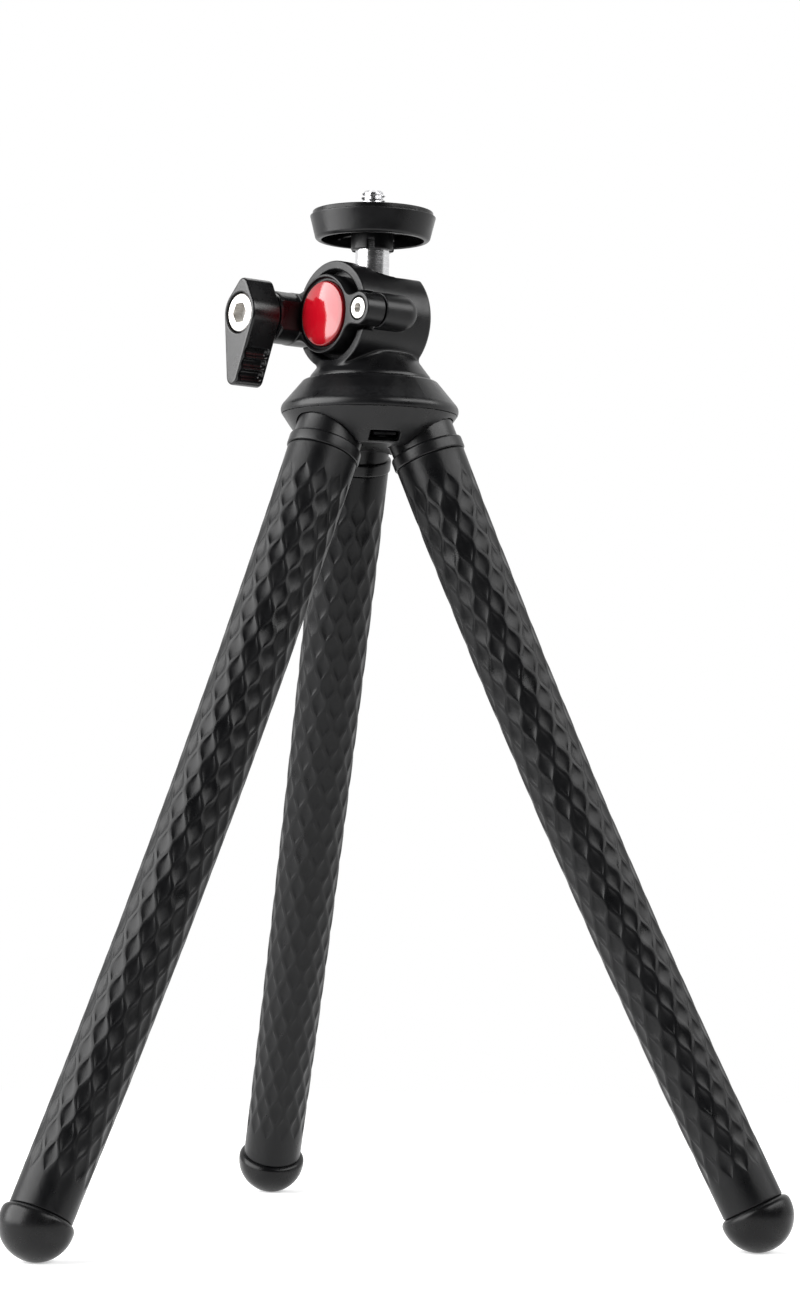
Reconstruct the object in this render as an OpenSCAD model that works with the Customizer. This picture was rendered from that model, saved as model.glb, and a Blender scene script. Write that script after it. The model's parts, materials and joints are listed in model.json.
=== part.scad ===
// Tabletop tripod with three flexible legs and a side-clamped ball head.
// The origin is on the floor under the stem. +Z is up and the red cap faces -Y.

/* [Legs] */
// Direction of the front leg, counted from +X
leg_azimuth = 274; // [240:1:300]
// Lean of a leg at its root, from the vertical
splay_angle = 22.3; // [18:0.1:28]
// Extra lean that each bend adds as the leg stands
bow_angle = 0.9; // [0:0.1:2]
// Distance of a leg's root from the centre
leg_reach = 16.6; // [16:0.1:19]
// Root of the leg to its first bend
first_bend = 20; // [18:0.5:30]
// Length between bends
bend_pitch = 38; // [30:0.5:50]
// Farthest that one bend turns each way
bend_limit = 30; // [15:1:32]
// Sleeve diameter at the root
sleeve_root_d = 18.4; // [16:0.1:18.8]
// Sleeve diameter at the foot
sleeve_tip_d = 16; // [13:0.1:16]
// Core wire diameter
core_d = 5; // [3:0.1:6]
// Foot diameter
foot_d = 18.5; // [18:0.1:22]
// Seam of the foot above its middle
foot_seam = 4.6; // [3:0.1:5]
// Depth of the core wire in the ferrule
core_grip = 7; // [4:0.5:8]

/* [Ferrules] */
// Collar diameter
collar_d = 19.2; // [19:0.1:21]
// Collar height
collar_h = 3.3; // [2.5:0.1:4]
// Rounding of the collar's upper edge
collar_round = 1; // [0.5:0.1:1.5]
// Shoulder diameter over the collar
shoulder_d = 17.6; // [16:0.1:18]
// Root of the leg to the top of the shoulder
shoulder_len = 8.2; // [7.8:0.1:8.4]
// Neck diameter
neck_d = 12.6; // [10:0.1:13]
// Root of the leg to the top of the neck
neck_len = 12.5; // [11.5:0.1:13.5]
// Wall of a leg socket
socket_wall = 1.9; // [1.2:0.1:2.2]
// Roof of a leg socket
socket_roof = 1.5; // [1:0.1:2]
// Leg screw diameter
leg_screw_d = 3; // [2.5:0.1:3.5]
// Leg screw head diameter
leg_screw_head_d = 5.5; // [5:0.1:6]
// Leg screw head height
leg_screw_head_h = 1.8; // [1.2:0.1:2]
// Leg screw length under its head
leg_screw_len = 5; // [3:0.5:6]

/* [Base] */
// Rim diameter
rim_d = 46.4; // [45:0.1:50]
// Rim above the leg roots
rim_height = 13; // [12.5:0.1:15]
// Rounding of the rim
rim_round = 2.4; // [1.8:0.1:2.6]
// Dome top above the rim
dome_rise = 7.9; // [7:0.1:9]
// Diameter where the dome's top edge ends
dome_top_d = 36.6; // [36:0.1:40]
// Rounding of the dome's top edge
dome_round = 1.8; // [0.8:0.1:2]
// Top plate of the dome
dome_top_wall = 2.6; // [2:0.1:3]
// Wall of the base shells
base_wall = 1.8; // [1.4:0.1:2]
// Seam between dome and lower shell, below the rim
seam_drop = 1; // [0.5:0.1:1.4]
// Crease of the lower shell, diameter
crease_d = 38.8; // [38:0.1:41]
// Crease below the rim
crease_drop = 6.3; // [5.8:0.1:6.8]
// Bottom of the lower shell, diameter
hub_d = 31; // [30:0.1:33]
// Bottom of the lower shell below the rim
hub_drop = 9.9; // [9.6:0.1:10.2]
// Clip window width
window_w = 7; // [5:0.1:8]
// Clip window height
window_h = 2.1; // [1.6:0.1:2.2]
// Clip window below the crease
window_drop = 0.6; // [0.4:0.1:0.8]
// Clip tongue thickness
tongue_t = 1.4; // [1:0.1:1.6]
// Middle of the clip tongues, distance from the centre
tongue_reach = 14.3; // [14:0.1:14.6]

/* [Ball] */
// Ball diameter
ball_d = 15; // [14:0.1:15.2]
// Ball centre above the dome
ball_rise = 16; // [15.6:0.1:17.5]
// Stem diameter
stem_d = 8.9; // [7:0.1:9]
// Foot of the stem above the ball's centre
stem_seat = 1; // [0.5:0.1:2]
// Lean of the mouth's wall from the vertical
mouth_lean = 22; // [19:0.5:24]
// Head stud diameter, 1/4 inch
stud_d = 6.35; // [5:0.05:6.4]
// Stud inside the housing
stud_engage = 4.4; // [3:0.1:4.5]
// Stud nut across its flats
stud_nut_w = 11; // [9.5:0.1:11.5]
// Stud nut height
stud_nut_h = 5; // [3:0.1:5]

/* [Housing] */
// Tube diameter
tube_d = 28.1; // [28:0.1:30]
// Front face of the tube before the ball's centre
tube_front = 13.5; // [13:0.1:15]
// Back of the tube behind the ball's centre
tube_back = 9.1; // [9:0.1:11]
// Rounding of the tube's back edge
tube_round = 1.2; // [0.5:0.1:1.2]
// Wall of the ring round the jaw
ring_wall = 2.35; // [2:0.05:2.5]
// Bore for the ball's cups
cup_bore_d = 19; // [18.4:0.1:19.4]
// Back wall of the tube
back_wall = 1.35; // [1.2:0.05:1.4]
// Flat top above the ball's centre
flat_rise = 10.3; // [10:0.1:11]
// Saddle foot diameter
saddle_foot_d = 31.8; // [30:0.1:32]
// Saddle top diameter
saddle_top_d = 24.6; // [23:0.1:26]
// Saddle top above the dome
saddle_rise = 5.4; // [5:0.1:6]
// Lip at the foot of the saddle
saddle_lip = 0.7; // [0.4:0.1:1]
// Ear and boss axes from the tube's axis
ear_offset = 14.4; // [14.2:0.1:15]
// Right boss diameter
right_boss_d = 9.2; // [8:0.1:9.6]
// Middle of the right boss's round end, before the ball's centre
right_boss_end = 2.5; // [1:0.1:4]
// Left boss diameter
left_boss_d = 13.6; // [13:0.1:14]
// Back of the left boss behind the ball's centre
left_boss_back = 3; // [2:0.1:5]

/* [Jaw] */
// Jaw face diameter
jaw_d = 20.4; // [20:0.1:21]
// Jaw face before the ball's centre
jaw_front = 16.5; // [16:0.1:17.5]
// Back of the jaw's ears before the ball's centre
ear_back = 10.6; // [10.4:0.1:11]
// Right ear diameter
right_ear_d = 8.5; // [8:0.1:9]
// Front of the left ear before the ball's centre
left_ear_front = 22.8; // [21:0.1:24]
// Fillet between the jaw and its ears
ear_fillet = 4; // [3:0.1:4.5]
// Jaw pad's front before the ball's centre
pad_front = 8.6; // [8.5:0.1:9]
// Half of the slit between the two ball cups
cup_slit = 0.6; // [0.4:0.1:1]
// Opening travel of the jaw
jaw_travel = 0.5; // [0.3:0.05:0.6]
// Cap diameter
cap_d = 16.8; // [16:0.1:17.2]
// Depth of the cap's recess
cap_depth = 2.4; // [1.5:0.1:3]
// Height of the cap's dome
cap_crown = 1.3; // [0.8:0.1:2]

/* [Screws and knob] */
// Jaw screw diameter, M3
jaw_screw_d = 3; // [2.5:0.1:3.2]
// Jaw screw head diameter
jaw_screw_head_d = 5.5; // [5:0.1:5.7]
// Jaw screw head height
jaw_screw_head_h = 3; // [2:0.1:3]
// Jaw screw hex across its flats
jaw_screw_hex = 2.5; // [2:0.1:2.5]
// Jaw screw length under its head
jaw_screw_len = 13; // [11:0.5:14]
// Knob bolt diameter, M6
bolt_d = 6; // [5:0.1:6]
// Knob bolt head diameter
bolt_head_d = 10; // [9.5:0.1:10]
// Knob bolt head height
bolt_head_h = 5.5; // [4:0.1:6]
// Knob bolt hex across its flats
bolt_hex = 5; // [4:0.1:5]
// Bolt insert diameter
insert_d = 8; // [7.6:0.1:8.2]
// Bolt insert length
insert_len = 6; // [4:0.1:8]
// Washer diameter
washer_d = 13; // [11:0.1:13.4]
// Washer thickness
washer_t = 0.7; // [0.5:0.1:1]
// Knob thickness
knob_t = 9.1; // [8:0.1:11]
// Knob hub diameter
knob_hub_d = 12.6; // [12.4:0.1:14]
// Knob top above its bolt
knob_top = 9.1; // [8:0.1:11]
// Knob top end diameter
knob_top_d = 4.4; // [3:0.1:6]
// Knob lever below its bolt
knob_lever = 18.8; // [16:0.1:20]
// Knob lever end diameter
knob_tip_d = 4.6; // [3:0.1:6]
// Lean of the lever from the vertical
knob_lean = 9.4; // [0:0.1:20]
// Chamfer round the knob's faces
knob_chamfer = 0.5; // [0.2:0.1:0.8]
// Grip groove diameter
groove_d = 2; // [1.4:0.1:2.4]
// Step between grip grooves
groove_step = 3.1; // [2.8:0.1:3.4]
// First grip groove below the bolt
groove_start = 8; // [7:0.1:9]

/* [Platform] */
// Plate top above the ball's centre
plate_rise = 27.2; // [24.5:0.1:28]
// Plate diameter at its top
plate_top_d = 33; // [32:0.1:33.4]
// Plate diameter at its lower edge
plate_low_d = 29.8; // [29:0.1:31]
// Plate height
plate_h = 6.4; // [5.5:0.1:6.6]
// Rounding of the plate's lower edge
plate_round = 0.7; // [0.4:0.1:0.8]
// Wall of the plate's skirt
plate_wall = 1.5; // [1.2:0.1:2]
// Thickness of the plate
plate_t = 2.6; // [2:0.1:3]
// Hub diameter of the plate
plate_hub_d = 11.3; // [11:0.1:12]
// Hub's lower end below the plate's top
plate_hub_drop = 9.1; // [8.5:0.1:9.2]
// Slots that split the hub
hub_slot = 1.8; // [1:0.1:2.2]
// Ribs under the plate
rib_t = 1.1; // [0.8:0.1:1.6]
// Depth of the ribs
rib_h = 1.6; // [1:0.1:2.4]
// Pad diameter
pad_d = 31.6; // [30:0.1:32]
// Pad thickness
pad_t = 1.2; // [0.8:0.1:2]
// Camera screw diameter, 1/4 inch
screw_d = 6.35; // [6.3:0.05:6.4]
// Camera screw above the pad
screw_len = 5.5; // [4.5:0.1:6.5]
// Smooth neck under the camera screw's thread
screw_neck_d = 5.6; // [5:0.1:6]

/* [Clearances] */
// Radial play of pins, screws and seats
fit = 0.05; // [0.03:0.01:0.08]
// Gap between pieces that move past each other
gap = 0.3; // [0.2:0.05:0.4]
// Gap round the ball in its cups
ball_gap = 0.1; // [0.08:0.01:0.15]
// Gap in the ball joints of the legs
joint_gap = 0.15; // [0.1:0.01:0.2]
// Step from the sleeve to its joint ball
joint_inset = 0.3; // [0.2:0.05:0.5]
// Angle that the joint's rim stays back beyond the bend
rim_margin = 3; // [2:0.5:5]

/* [Hidden] */
$fn = 64;
over = 1;
far = 60;
LEG_NAMES = ["front", "right", "left"];
LEGS = [0, 1, 2];
BENDS = 5;
LENGTHS = [0:BENDS];

leg_turn = 360 / len(LEG_NAMES);
foot_r = foot_d / 2;
core_r = core_d / 2;
neck_r = neck_d / 2;
shoulder_r = shoulder_d / 2;
collar_r = collar_d / 2;
rim_r = rim_d / 2;
ball_r = ball_d / 2;
stem_r = stem_d / 2;
tube_r = tube_d / 2;
ring_r = tube_r - ring_wall;
cup_bore_r = cup_bore_d / 2;
cup_r = ball_r + ball_gap;

// A leg in its own upright plane, as [distance from the centre, height]
function length_of(k) = k == 0 ? first_bend : bend_pitch;
function lean_of(k) = splay_angle + k * bow_angle;
function drop_of(k) = k < 0 ? 0 : drop_of(k - 1) + length_of(k) * cos(lean_of(k));
function spread_of(k) = k < 0 ? 0 : spread_of(k - 1) + length_of(k) * sin(lean_of(k));
function along(k) = k == 0 ? 0 : along(k - 1) + length_of(k - 1);
function sleeve_r(s) = (sleeve_root_d + (sleeve_tip_d - sleeve_root_d) * s / along(BENDS + 1)) / 2;
function joint_r(k) = sleeve_r(along(k)) - joint_inset;
function socket_r(k) = joint_r(k) + joint_gap;
function rim_depth(k) = socket_r(k) * sin(bend_limit + rim_margin);
root_z = foot_r + drop_of(BENDS);

rim_z = root_z + rim_height;
dome_z = rim_z + dome_rise;
ball_z = dome_z + ball_rise;
plate_z = ball_z + plate_rise;
pad_z = plate_z + pad_t;
knob_back = left_ear_front + washer_t;
knob_face = knob_back + knob_t;
bolt_head_base = knob_face - gap - bolt_head_h;
jaw_screw_seat = jaw_front - jaw_screw_head_h;
stem_slot = stem_r + gap;

// Point where a line from p touches a circle round c
function tangent_point(p, c, r) =
    let (d = p - c, a = atan2(d[1], d[0]) - acos(r / norm(d)))
    c + r * [cos(a), sin(a)];

// Frame on a leg at the start of length k, with +Z down the leg
module on_leg(leg, k) {
    rotate([0, 0, leg_azimuth + leg * leg_turn])
        translate([leg_reach + spread_of(k - 1), 0, root_z - drop_of(k - 1)])
            rotate([0, 180 - lean_of(k), 0]) children();
}

// Frame at the ball's centre, with +Z towards the cap and +Y up
module in_head() {
    translate([0, 0, ball_z]) rotate([90, 0, 0]) children();
}

// Frame between two legs, at the rim's height
module between_legs(leg) {
    rotate([0, 0, leg_azimuth + (leg + 0.5) * leg_turn]) translate([0, 0, rim_z]) children();
}

// Rod on the origin whose upper edge is rounded
module round_rod(d, h, edge) {
    rotate_extrude() {
        square([d / 2 - edge, h]);
        square([d / 2, h - edge]);
        translate([d / 2 - edge, h - edge]) intersection() {
            circle(edge);
            square(edge);
        }
    }
}

module hex_rod(w, h) {
    cylinder(d = w / cos(30), h = h, $fn = 6);
}

// Two circles joined by their outer tangents, the second one up the Y axis
module taper(r_a, r_b, distance) {
    t = asin((r_a - r_b) / distance);
    side = [cos(t), sin(t)];
    circle(r_a);
    translate([0, distance]) circle(r_b);
    polygon([
        r_a * side,
        [0, distance] + r_b * side,
        [-r_b * side[0], distance + r_b * side[1]],
        [-r_a * side[0], r_a * side[1]]
    ]);
}

// Round body and an ear at +X, with fillets where they meet
module eared(r_body, r_ear, distance, fillet) {
    a = r_body + fillet;
    b = r_ear + fillet;
    x = (a * a - b * b + distance * distance) / (2 * distance);
    y = sqrt(a * a - x * x);
    on_body = [x, y] * r_body / a;
    on_ear = [distance, 0] + [x - distance, y] * r_ear / b;
    circle(r_body);
    translate([distance, 0]) circle(r_ear);
    difference() {
        polygon([
            [0, 0], on_body, [x, y], on_ear, [distance, 0],
            [on_ear[0], -on_ear[1]], [x, -y], [on_body[0], -on_body[1]]
        ]);
        translate([x, y]) circle(fillet);
        translate([x, -y]) circle(fillet);
    }
}

module sleeve(leg, k) {
    last = k == BENDS;
    h = length_of(k) - (last ? foot_seam : 0);
    color("#26272a") on_leg(leg, k) difference() {
        union() {
            cylinder(h = h, r1 = sleeve_r(along(k)), r2 = sleeve_r(along(k) + h));
            if (!last) translate([0, 0, h]) sphere(joint_r(k + 1));
        }
        if (k > 0) sphere(socket_r(k));
        if (k > 0) translate([0, 0, -over]) cylinder(h = rim_depth(k) + over, d = sleeve_root_d + over);
        translate([0, 0, -over]) cylinder(h = far, r = core_r + fit);
    }
}

module core(leg, k) {
    last = k == BENDS;
    start = k == 0 ? -core_grip : 0;
    h = length_of(k);
    color("silver") on_leg(leg, k) difference() {
        union() {
            translate([0, 0, start]) cylinder(h = h - start, r = core_r);
            if (!last) intersection() {
                cylinder(h = h + sleeve_root_d, r = core_r);
                translate([0, 0, h]) sphere(joint_r(k + 1));
            }
        }
        if (k > 0) sphere(socket_r(k));
    }
}

module core_roots() {
    for (leg = LEGS) core(leg, 0);
}

module foot(leg) {
    color("#202124") on_leg(leg, BENDS) translate([0, 0, bend_pitch]) difference() {
        sphere(foot_r);
        translate([0, 0, -foot_seam - far]) cylinder(h = far, d = foot_d);
        translate([0, 0, -far]) cylinder(h = far, r = core_r + fit);
    }
}

module ferrule(leg) {
    color("#303135") on_leg(leg, 0) difference() {
        rotate([180, 0, 0]) {
            round_rod(collar_d, collar_h, collar_round);
            cylinder(h = shoulder_len, r = shoulder_r);
            cylinder(h = neck_len, r = neck_r);
        }
        translate([0, 0, -core_grip]) cylinder(h = core_grip + over, r = core_r + fit);
        translate([0, 0, -far]) cylinder(h = far, d = leg_screw_d + 2 * fit);
    }
}

module leg_screws() {
    color("silver") for (leg = LEGS) on_leg(leg, 0) translate([0, 0, -neck_len - socket_roof]) {
        cylinder(h = leg_screw_len, d = leg_screw_d);
        rotate([180, 0, 0]) cylinder(h = leg_screw_head_h, d = leg_screw_head_d);
    }
}

// Outside of the dome, as [distance from the centre, height over the rim]
module dome_outline() {
    rim_c = [rim_r - rim_round, 0];
    top_c = [dome_top_d / 2 - dome_round, dome_rise - dome_round];
    shoulder = top_c + dome_round * [cos(45), sin(45)];
    translate(rim_c) circle(rim_round);
    translate(top_c) circle(dome_round);
    polygon([
        [0, -rim_round], [rim_c[0], -rim_round], rim_c, tangent_point(shoulder, rim_c, rim_round),
        shoulder, top_c, [top_c[0], dome_rise], [0, dome_rise]
    ]);
}

module clip_tongue() {
    top = dome_rise - dome_top_wall;
    hook = crease_drop + window_drop + gap;
    end = hub_drop - base_wall - gap;
    width = window_w - 4 * gap;
    translate([tongue_reach - tongue_t / 2, -width / 2, -end]) cube([tongue_t, width, end + top + over]);
    translate([tongue_reach, -width / 2, -end]) cube([tongue_t + gap * 4, width, end - hook]);
}

module base_dome() {
    ceiling = dome_rise - dome_top_wall;
    color("#2c2d31") difference() {
        union() {
            translate([0, 0, rim_z]) rotate_extrude() difference() {
                intersection() {
                    dome_outline();
                    translate([0, -seam_drop]) square(far);
                }
                polygon([
                    [0, -rim_round], [rim_r - rim_round, -rim_round], [rim_r - rim_round, 0],
                    [dome_top_d / 2 - base_wall, ceiling], [0, ceiling]
                ]);
            }
            for (leg = LEGS) between_legs(leg) clip_tongue();
        }
        cylinder(h = 2 * ball_z, d = stud_d + 2 * fit);
    }
}

// Outside of the lower shell, as [distance from the centre, height over the rim]
module lower_outline(inset) {
    seam_r = rim_r - rim_round + sqrt(pow(rim_round, 2) - pow(seam_drop, 2));
    polygon([
        [0, -hub_drop + inset], [hub_d / 2 - inset, -hub_drop + inset],
        [crease_d / 2 - inset, -crease_drop + inset / 2], [seam_r - inset, -seam_drop],
        [seam_r - inset, -seam_drop + (inset > 0 ? over : 0)], [0, -seam_drop + (inset > 0 ? over : 0)]
    ]);
}

module base_lower() {
    socket_len = neck_len + socket_roof;
    color("#2c2d31") difference() {
        union() {
            translate([0, 0, rim_z]) rotate_extrude() difference() {
                lower_outline(0);
                lower_outline(base_wall);
            }
            intersection() {
                for (leg = LEGS) on_leg(leg, 0) translate([0, 0, -socket_len])
                    cylinder(h = socket_len, r = neck_r + socket_wall);
                translate([0, 0, rim_z]) union() {
                    rotate_extrude() lower_outline(0);
                    translate([0, 0, -seam_drop - over])
                        cylinder(h = dome_rise, d = dome_top_d - 3 * base_wall);
                }
            }
        }
        for (leg = LEGS) on_leg(leg, 0) {
            translate([0, 0, -neck_len]) cylinder(h = far, r = neck_r + fit);
            translate([0, 0, -far]) cylinder(h = far, d = leg_screw_d + 2 * gap);
            translate([0, 0, -shoulder_len - gap]) cylinder(h = far, r = shoulder_r + gap);
            translate([0, 0, -collar_h - gap]) cylinder(h = far, r = collar_r + gap);
        }
        for (leg = LEGS) between_legs(leg)
            translate([tongue_reach - tongue_t / 2 - gap, -window_w / 2, -crease_drop - window_drop - window_h])
                cube([far, window_w, window_h]);
    }
}

module head_stud() {
    color("silver") translate([0, 0, dome_z - dome_top_wall - stud_nut_h])
        cylinder(h = stud_nut_h + dome_top_wall + stud_engage, d = stud_d);
}

module stud_nut() {
    color("silver") translate([0, 0, dome_z - dome_top_wall - stud_nut_h]) difference() {
        hex_rod(stud_nut_w, stud_nut_h);
        translate([0, 0, -over]) cylinder(h = far, d = stud_d + 2 * fit);
    }
}

// Room that the leaning stem needs: a cone towards the front and sides, and a slot to the back
module stem_room() {
    reach = tube_r + jaw_front;
    start = stem_r / cos(mouth_lean) + gap;
    translate([0, 0, ball_z]) {
        cylinder(h = reach, r1 = start, r2 = start + reach * tan(mouth_lean));
        translate([-stem_slot, 0, 0]) cube([2 * stem_slot, reach, reach]);
        rotate([-90, 0, 0]) cylinder(h = reach, r = stem_slot);
    }
}

module saddle() {
    translate([0, 0, dome_z]) rotate_extrude() polygon([
        [0, 0], [saddle_foot_d / 2, 0], [saddle_foot_d / 2, saddle_lip],
        [saddle_top_d / 2, saddle_rise], [0, saddle_rise]
    ]);
}

module head_housing() {
    boss_front = ear_back - gap;
    color("#2a2b2e") difference() {
        union() {
            saddle();
            in_head() {
                translate([0, 0, tube_front]) rotate([180, 0, 0])
                    round_rod(tube_d, tube_front + tube_back, tube_round);
                translate([ear_offset, 0, right_boss_end]) {
                    cylinder(h = boss_front - right_boss_end, d = right_boss_d);
                    sphere(d = right_boss_d);
                }
                translate([-ear_offset, 0, -left_boss_back])
                    cylinder(h = boss_front + left_boss_back, d = left_boss_d);
            }
        }
        in_head() {
            translate([0, 0, -tube_back + back_wall]) cylinder(h = far, r = cup_bore_r);
            translate([0, 0, boss_front]) cylinder(h = far, r = ring_r);
            translate([-far / 2, flat_rise, -far]) cube(far);
            translate([0, -right_ear_d / 2 - 2 * gap, boss_front]) cube([far, right_ear_d + 4 * gap, far]);
            translate([-far, -left_boss_d / 2 - 2 * gap, boss_front]) cube([far, left_boss_d + 4 * gap, far]);
            translate([ear_offset, 0, jaw_screw_seat - jaw_screw_len - gap])
                cylinder(h = far, d = jaw_screw_d + 2 * fit);
            translate([-ear_offset, 0, -far / 2]) cylinder(h = far, d = bolt_d + 4 * fit);
            translate([-ear_offset, 0, -left_boss_back - over])
                cylinder(h = insert_len + over, d = insert_d + 2 * fit);
        }
        stem_room();
        translate([0, 0, dome_z - over]) cylinder(h = stud_engage + gap + over, d = stud_d + 2 * fit);
    }
}

// Cup round the ball, between two distances before the ball's centre
module ball_cup(low, high, r) {
    difference() {
        in_head() difference() {
            translate([0, 0, low]) cylinder(h = high - low, r = r);
            sphere(cup_r);
        }
        stem_room();
    }
}

module ball_seat() {
    color("ivory") ball_cup(back_wall - tube_back, -cup_slit, cup_bore_r - fit);
}

module jaw_pad() {
    color("ivory") ball_cup(cup_slit, pad_front, cup_bore_r - gap);
}

module clamp_jaw() {
    color("#2a2b2e") in_head() difference() {
        union() {
            translate([0, 0, ear_back]) linear_extrude(jaw_front - ear_back) {
                eared(jaw_d / 2, right_ear_d / 2, ear_offset, ear_fillet);
                mirror([1, 0]) eared(jaw_d / 2, left_boss_d / 2, ear_offset, ear_fillet);
            }
            translate([0, 0, pad_front]) cylinder(h = jaw_front - pad_front, r = cup_bore_r - gap);
            translate([-ear_offset, 0, ear_back]) cylinder(h = left_ear_front - ear_back, d = left_boss_d);
        }
        translate([0, 0, jaw_front - cap_depth]) cylinder(h = far, d = cap_d + 2 * fit);
        translate([ear_offset, 0, 0]) {
            cylinder(h = far, d = jaw_screw_d + 4 * fit);
            translate([0, 0, jaw_screw_seat - jaw_travel - fit]) cylinder(h = far, d = jaw_screw_head_d + gap);
        }
        translate([-ear_offset, 0, 0]) cylinder(h = far, d = bolt_d + 2 * fit);
    }
}

module jaw_cap() {
    r = cap_d / 2;
    dome_r = (r * r + cap_crown * cap_crown) / (2 * cap_crown);
    color("crimson") in_head() translate([0, 0, jaw_front - cap_depth]) {
        cylinder(h = cap_depth, r = r);
        intersection() {
            cylinder(h = far, r = r);
            translate([0, 0, cap_depth + cap_crown - dome_r]) sphere(dome_r, $fn = 128);
        }
    }
}

// Socket screw with its head's seat on the origin and its shank down the Z axis
module socket_screw(d, length, head_d, head_h, hex) {
    difference() {
        union() {
            translate([0, 0, -length]) cylinder(h = length, d = d);
            round_rod(head_d, head_h, head_h / 10);
        }
        translate([0, 0, head_h / 2]) hex_rod(hex, head_h);
    }
}

module jaw_screw() {
    color("gainsboro") in_head() translate([ear_offset, 0, jaw_screw_seat])
        socket_screw(jaw_screw_d, jaw_screw_len, jaw_screw_head_d, jaw_screw_head_h, jaw_screw_hex);
}

// Frame on the knob's axis at its back face, with +Y along the lever
module on_knob() {
    in_head() translate([-ear_offset, 0, knob_back]) rotate([0, 0, 180 - knob_lean]) children();
}

module knob_outline(inset) {
    lever_r = knob_tip_d / 2;
    top_r = knob_top_d / 2;
    taper(knob_hub_d / 2 - inset, lever_r - inset, knob_lever - lever_r);
    mirror([0, 1]) taper(knob_hub_d / 2 - inset, top_r - inset, knob_top - top_r);
}

module grip_groove() {
    h = knob_t - groove_d;
    translate([0, 0, -h / 2]) cylinder(h = h, d = groove_d);
}

module lock_knob() {
    lever_r = knob_tip_d / 2;
    flank = asin((knob_hub_d / 2 - lever_r) / (knob_lever - lever_r));
    color("#232427") on_knob() difference() {
        union() {
            linear_extrude(knob_t) knob_outline(knob_chamfer);
            translate([0, 0, knob_chamfer]) linear_extrude(knob_t - 2 * knob_chamfer) knob_outline(0);
        }
        translate([0, 0, -over]) cylinder(h = far, d = bolt_d + 2 * fit);
        translate([0, 0, bolt_head_base - knob_back]) cylinder(h = far, d = bolt_head_d + 2 * gap);
        for (side = [-1, 1], i = [0:2]) rotate([0, 0, -side * flank])
            translate([-side * knob_hub_d / 2, groove_start + i * groove_step, knob_t / 2]) grip_groove();
    }
}

module knob_bolt() {
    color("gainsboro") in_head() translate([-ear_offset, 0, bolt_head_base])
        socket_screw(bolt_d, bolt_head_base + left_boss_back, bolt_head_d, bolt_head_h, bolt_hex);
}

module knob_washer() {
    color("#18191b") in_head() translate([-ear_offset, 0, left_ear_front]) difference() {
        cylinder(h = washer_t, d = washer_d);
        translate([0, 0, -over]) cylinder(h = far, d = bolt_d + 2 * fit);
    }
}

module bolt_insert() {
    color("goldenrod") in_head() translate([-ear_offset, 0, -left_boss_back]) difference() {
        cylinder(h = insert_len, d = insert_d);
        translate([0, 0, -over]) cylinder(h = far, d = bolt_d + 2 * fit);
    }
}

module ball() {
    color("gray") translate([0, 0, ball_z]) difference() {
        sphere(ball_r);
        translate([0, 0, stem_seat]) cylinder(h = far, r = stem_r + fit);
    }
}

module stem() {
    color("gainsboro") translate([0, 0, ball_z + stem_seat]) {
        cylinder(h = plate_rise - plate_t - stem_seat, r = stem_r);
        cylinder(h = plate_rise + pad_t - stem_seat, d = screw_neck_d);
        translate([0, 0, plate_rise + pad_t - stem_seat]) cylinder(h = screw_len, d = screw_d);
    }
}

// Half section of the plate's outside, on its lower edge
module plate_outline() {
    low = plate_low_d / 2;
    translate([low - plate_round, plate_round]) circle(plate_round);
    polygon([
        [0, 0], [low - plate_round, 0], [low, plate_round],
        [plate_top_d / 2, plate_h], [0, plate_h]
    ]);
}

module camera_platform() {
    low_r = plate_low_d / 2 - plate_wall;
    high_r = plate_top_d / 2 - plate_wall;
    hollow = plate_h - plate_t;
    hub_len = plate_hub_drop - plate_h;
    color("#2b2c30") translate([0, 0, plate_z - plate_h]) difference() {
        union() {
            rotate_extrude() difference() {
                plate_outline();
                translate([0, -over]) square([low_r, over]);
                polygon([
                    [0, 0], [low_r, 0], [low_r + (high_r - low_r) * hollow / plate_h, hollow], [0, hollow]
                ]);
            }
            translate([0, 0, -hub_len]) cylinder(h = plate_hub_drop - over, d = plate_hub_d);
            intersection() {
                rotate_extrude() plate_outline();
                for (a = [0:60:120]) rotate([0, 0, a])
                    translate([-plate_top_d / 2, -rib_t / 2, hollow - rib_h])
                        cube([plate_top_d, rib_t, rib_h + over]);
            }
        }
        translate([0, 0, -hub_len - over]) cylinder(h = hub_len + over + hollow, r = stem_r + fit);
        cylinder(h = far, d = screw_d + 2 * fit);
        for (a = [45, 135]) rotate([0, 0, a])
            translate([-plate_hub_d, -hub_slot / 2, -hub_len - over])
                cube([2 * plate_hub_d, hub_slot, hub_len + over]);
    }
}

module platform_pad() {
    color("#151617") translate([0, 0, plate_z]) difference() {
        cylinder(h = pad_t, d = pad_d);
        translate([0, 0, -over]) cylinder(h = far, d = screw_d + 2 * gap);
    }
}

camera_platform();
platform_pad();
stem();
ball();
head_housing();
ball_seat();
clamp_jaw();
jaw_pad();
jaw_cap();
jaw_screw();
lock_knob();
knob_bolt();
knob_washer();
bolt_insert();
head_stud();
stud_nut();
base_dome();
base_lower();
leg_screws();
core_roots();
for (leg = LEGS) {
    name = LEG_NAMES[leg];
    ferrule(leg);
    for (k = LENGTHS) sleeve(leg, k);
    for (k = [1:BENDS]) core(leg, k);
    foot(leg);
}
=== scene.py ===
"""Flexible leg tripod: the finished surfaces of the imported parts, their materials and a plain studio."""

import itertools
import json
import math

import bpy
import numpy as np
from bpy.props import FloatProperty, FloatVectorProperty, IntProperty, PointerProperty
from mathutils import Matrix, Vector


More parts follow.
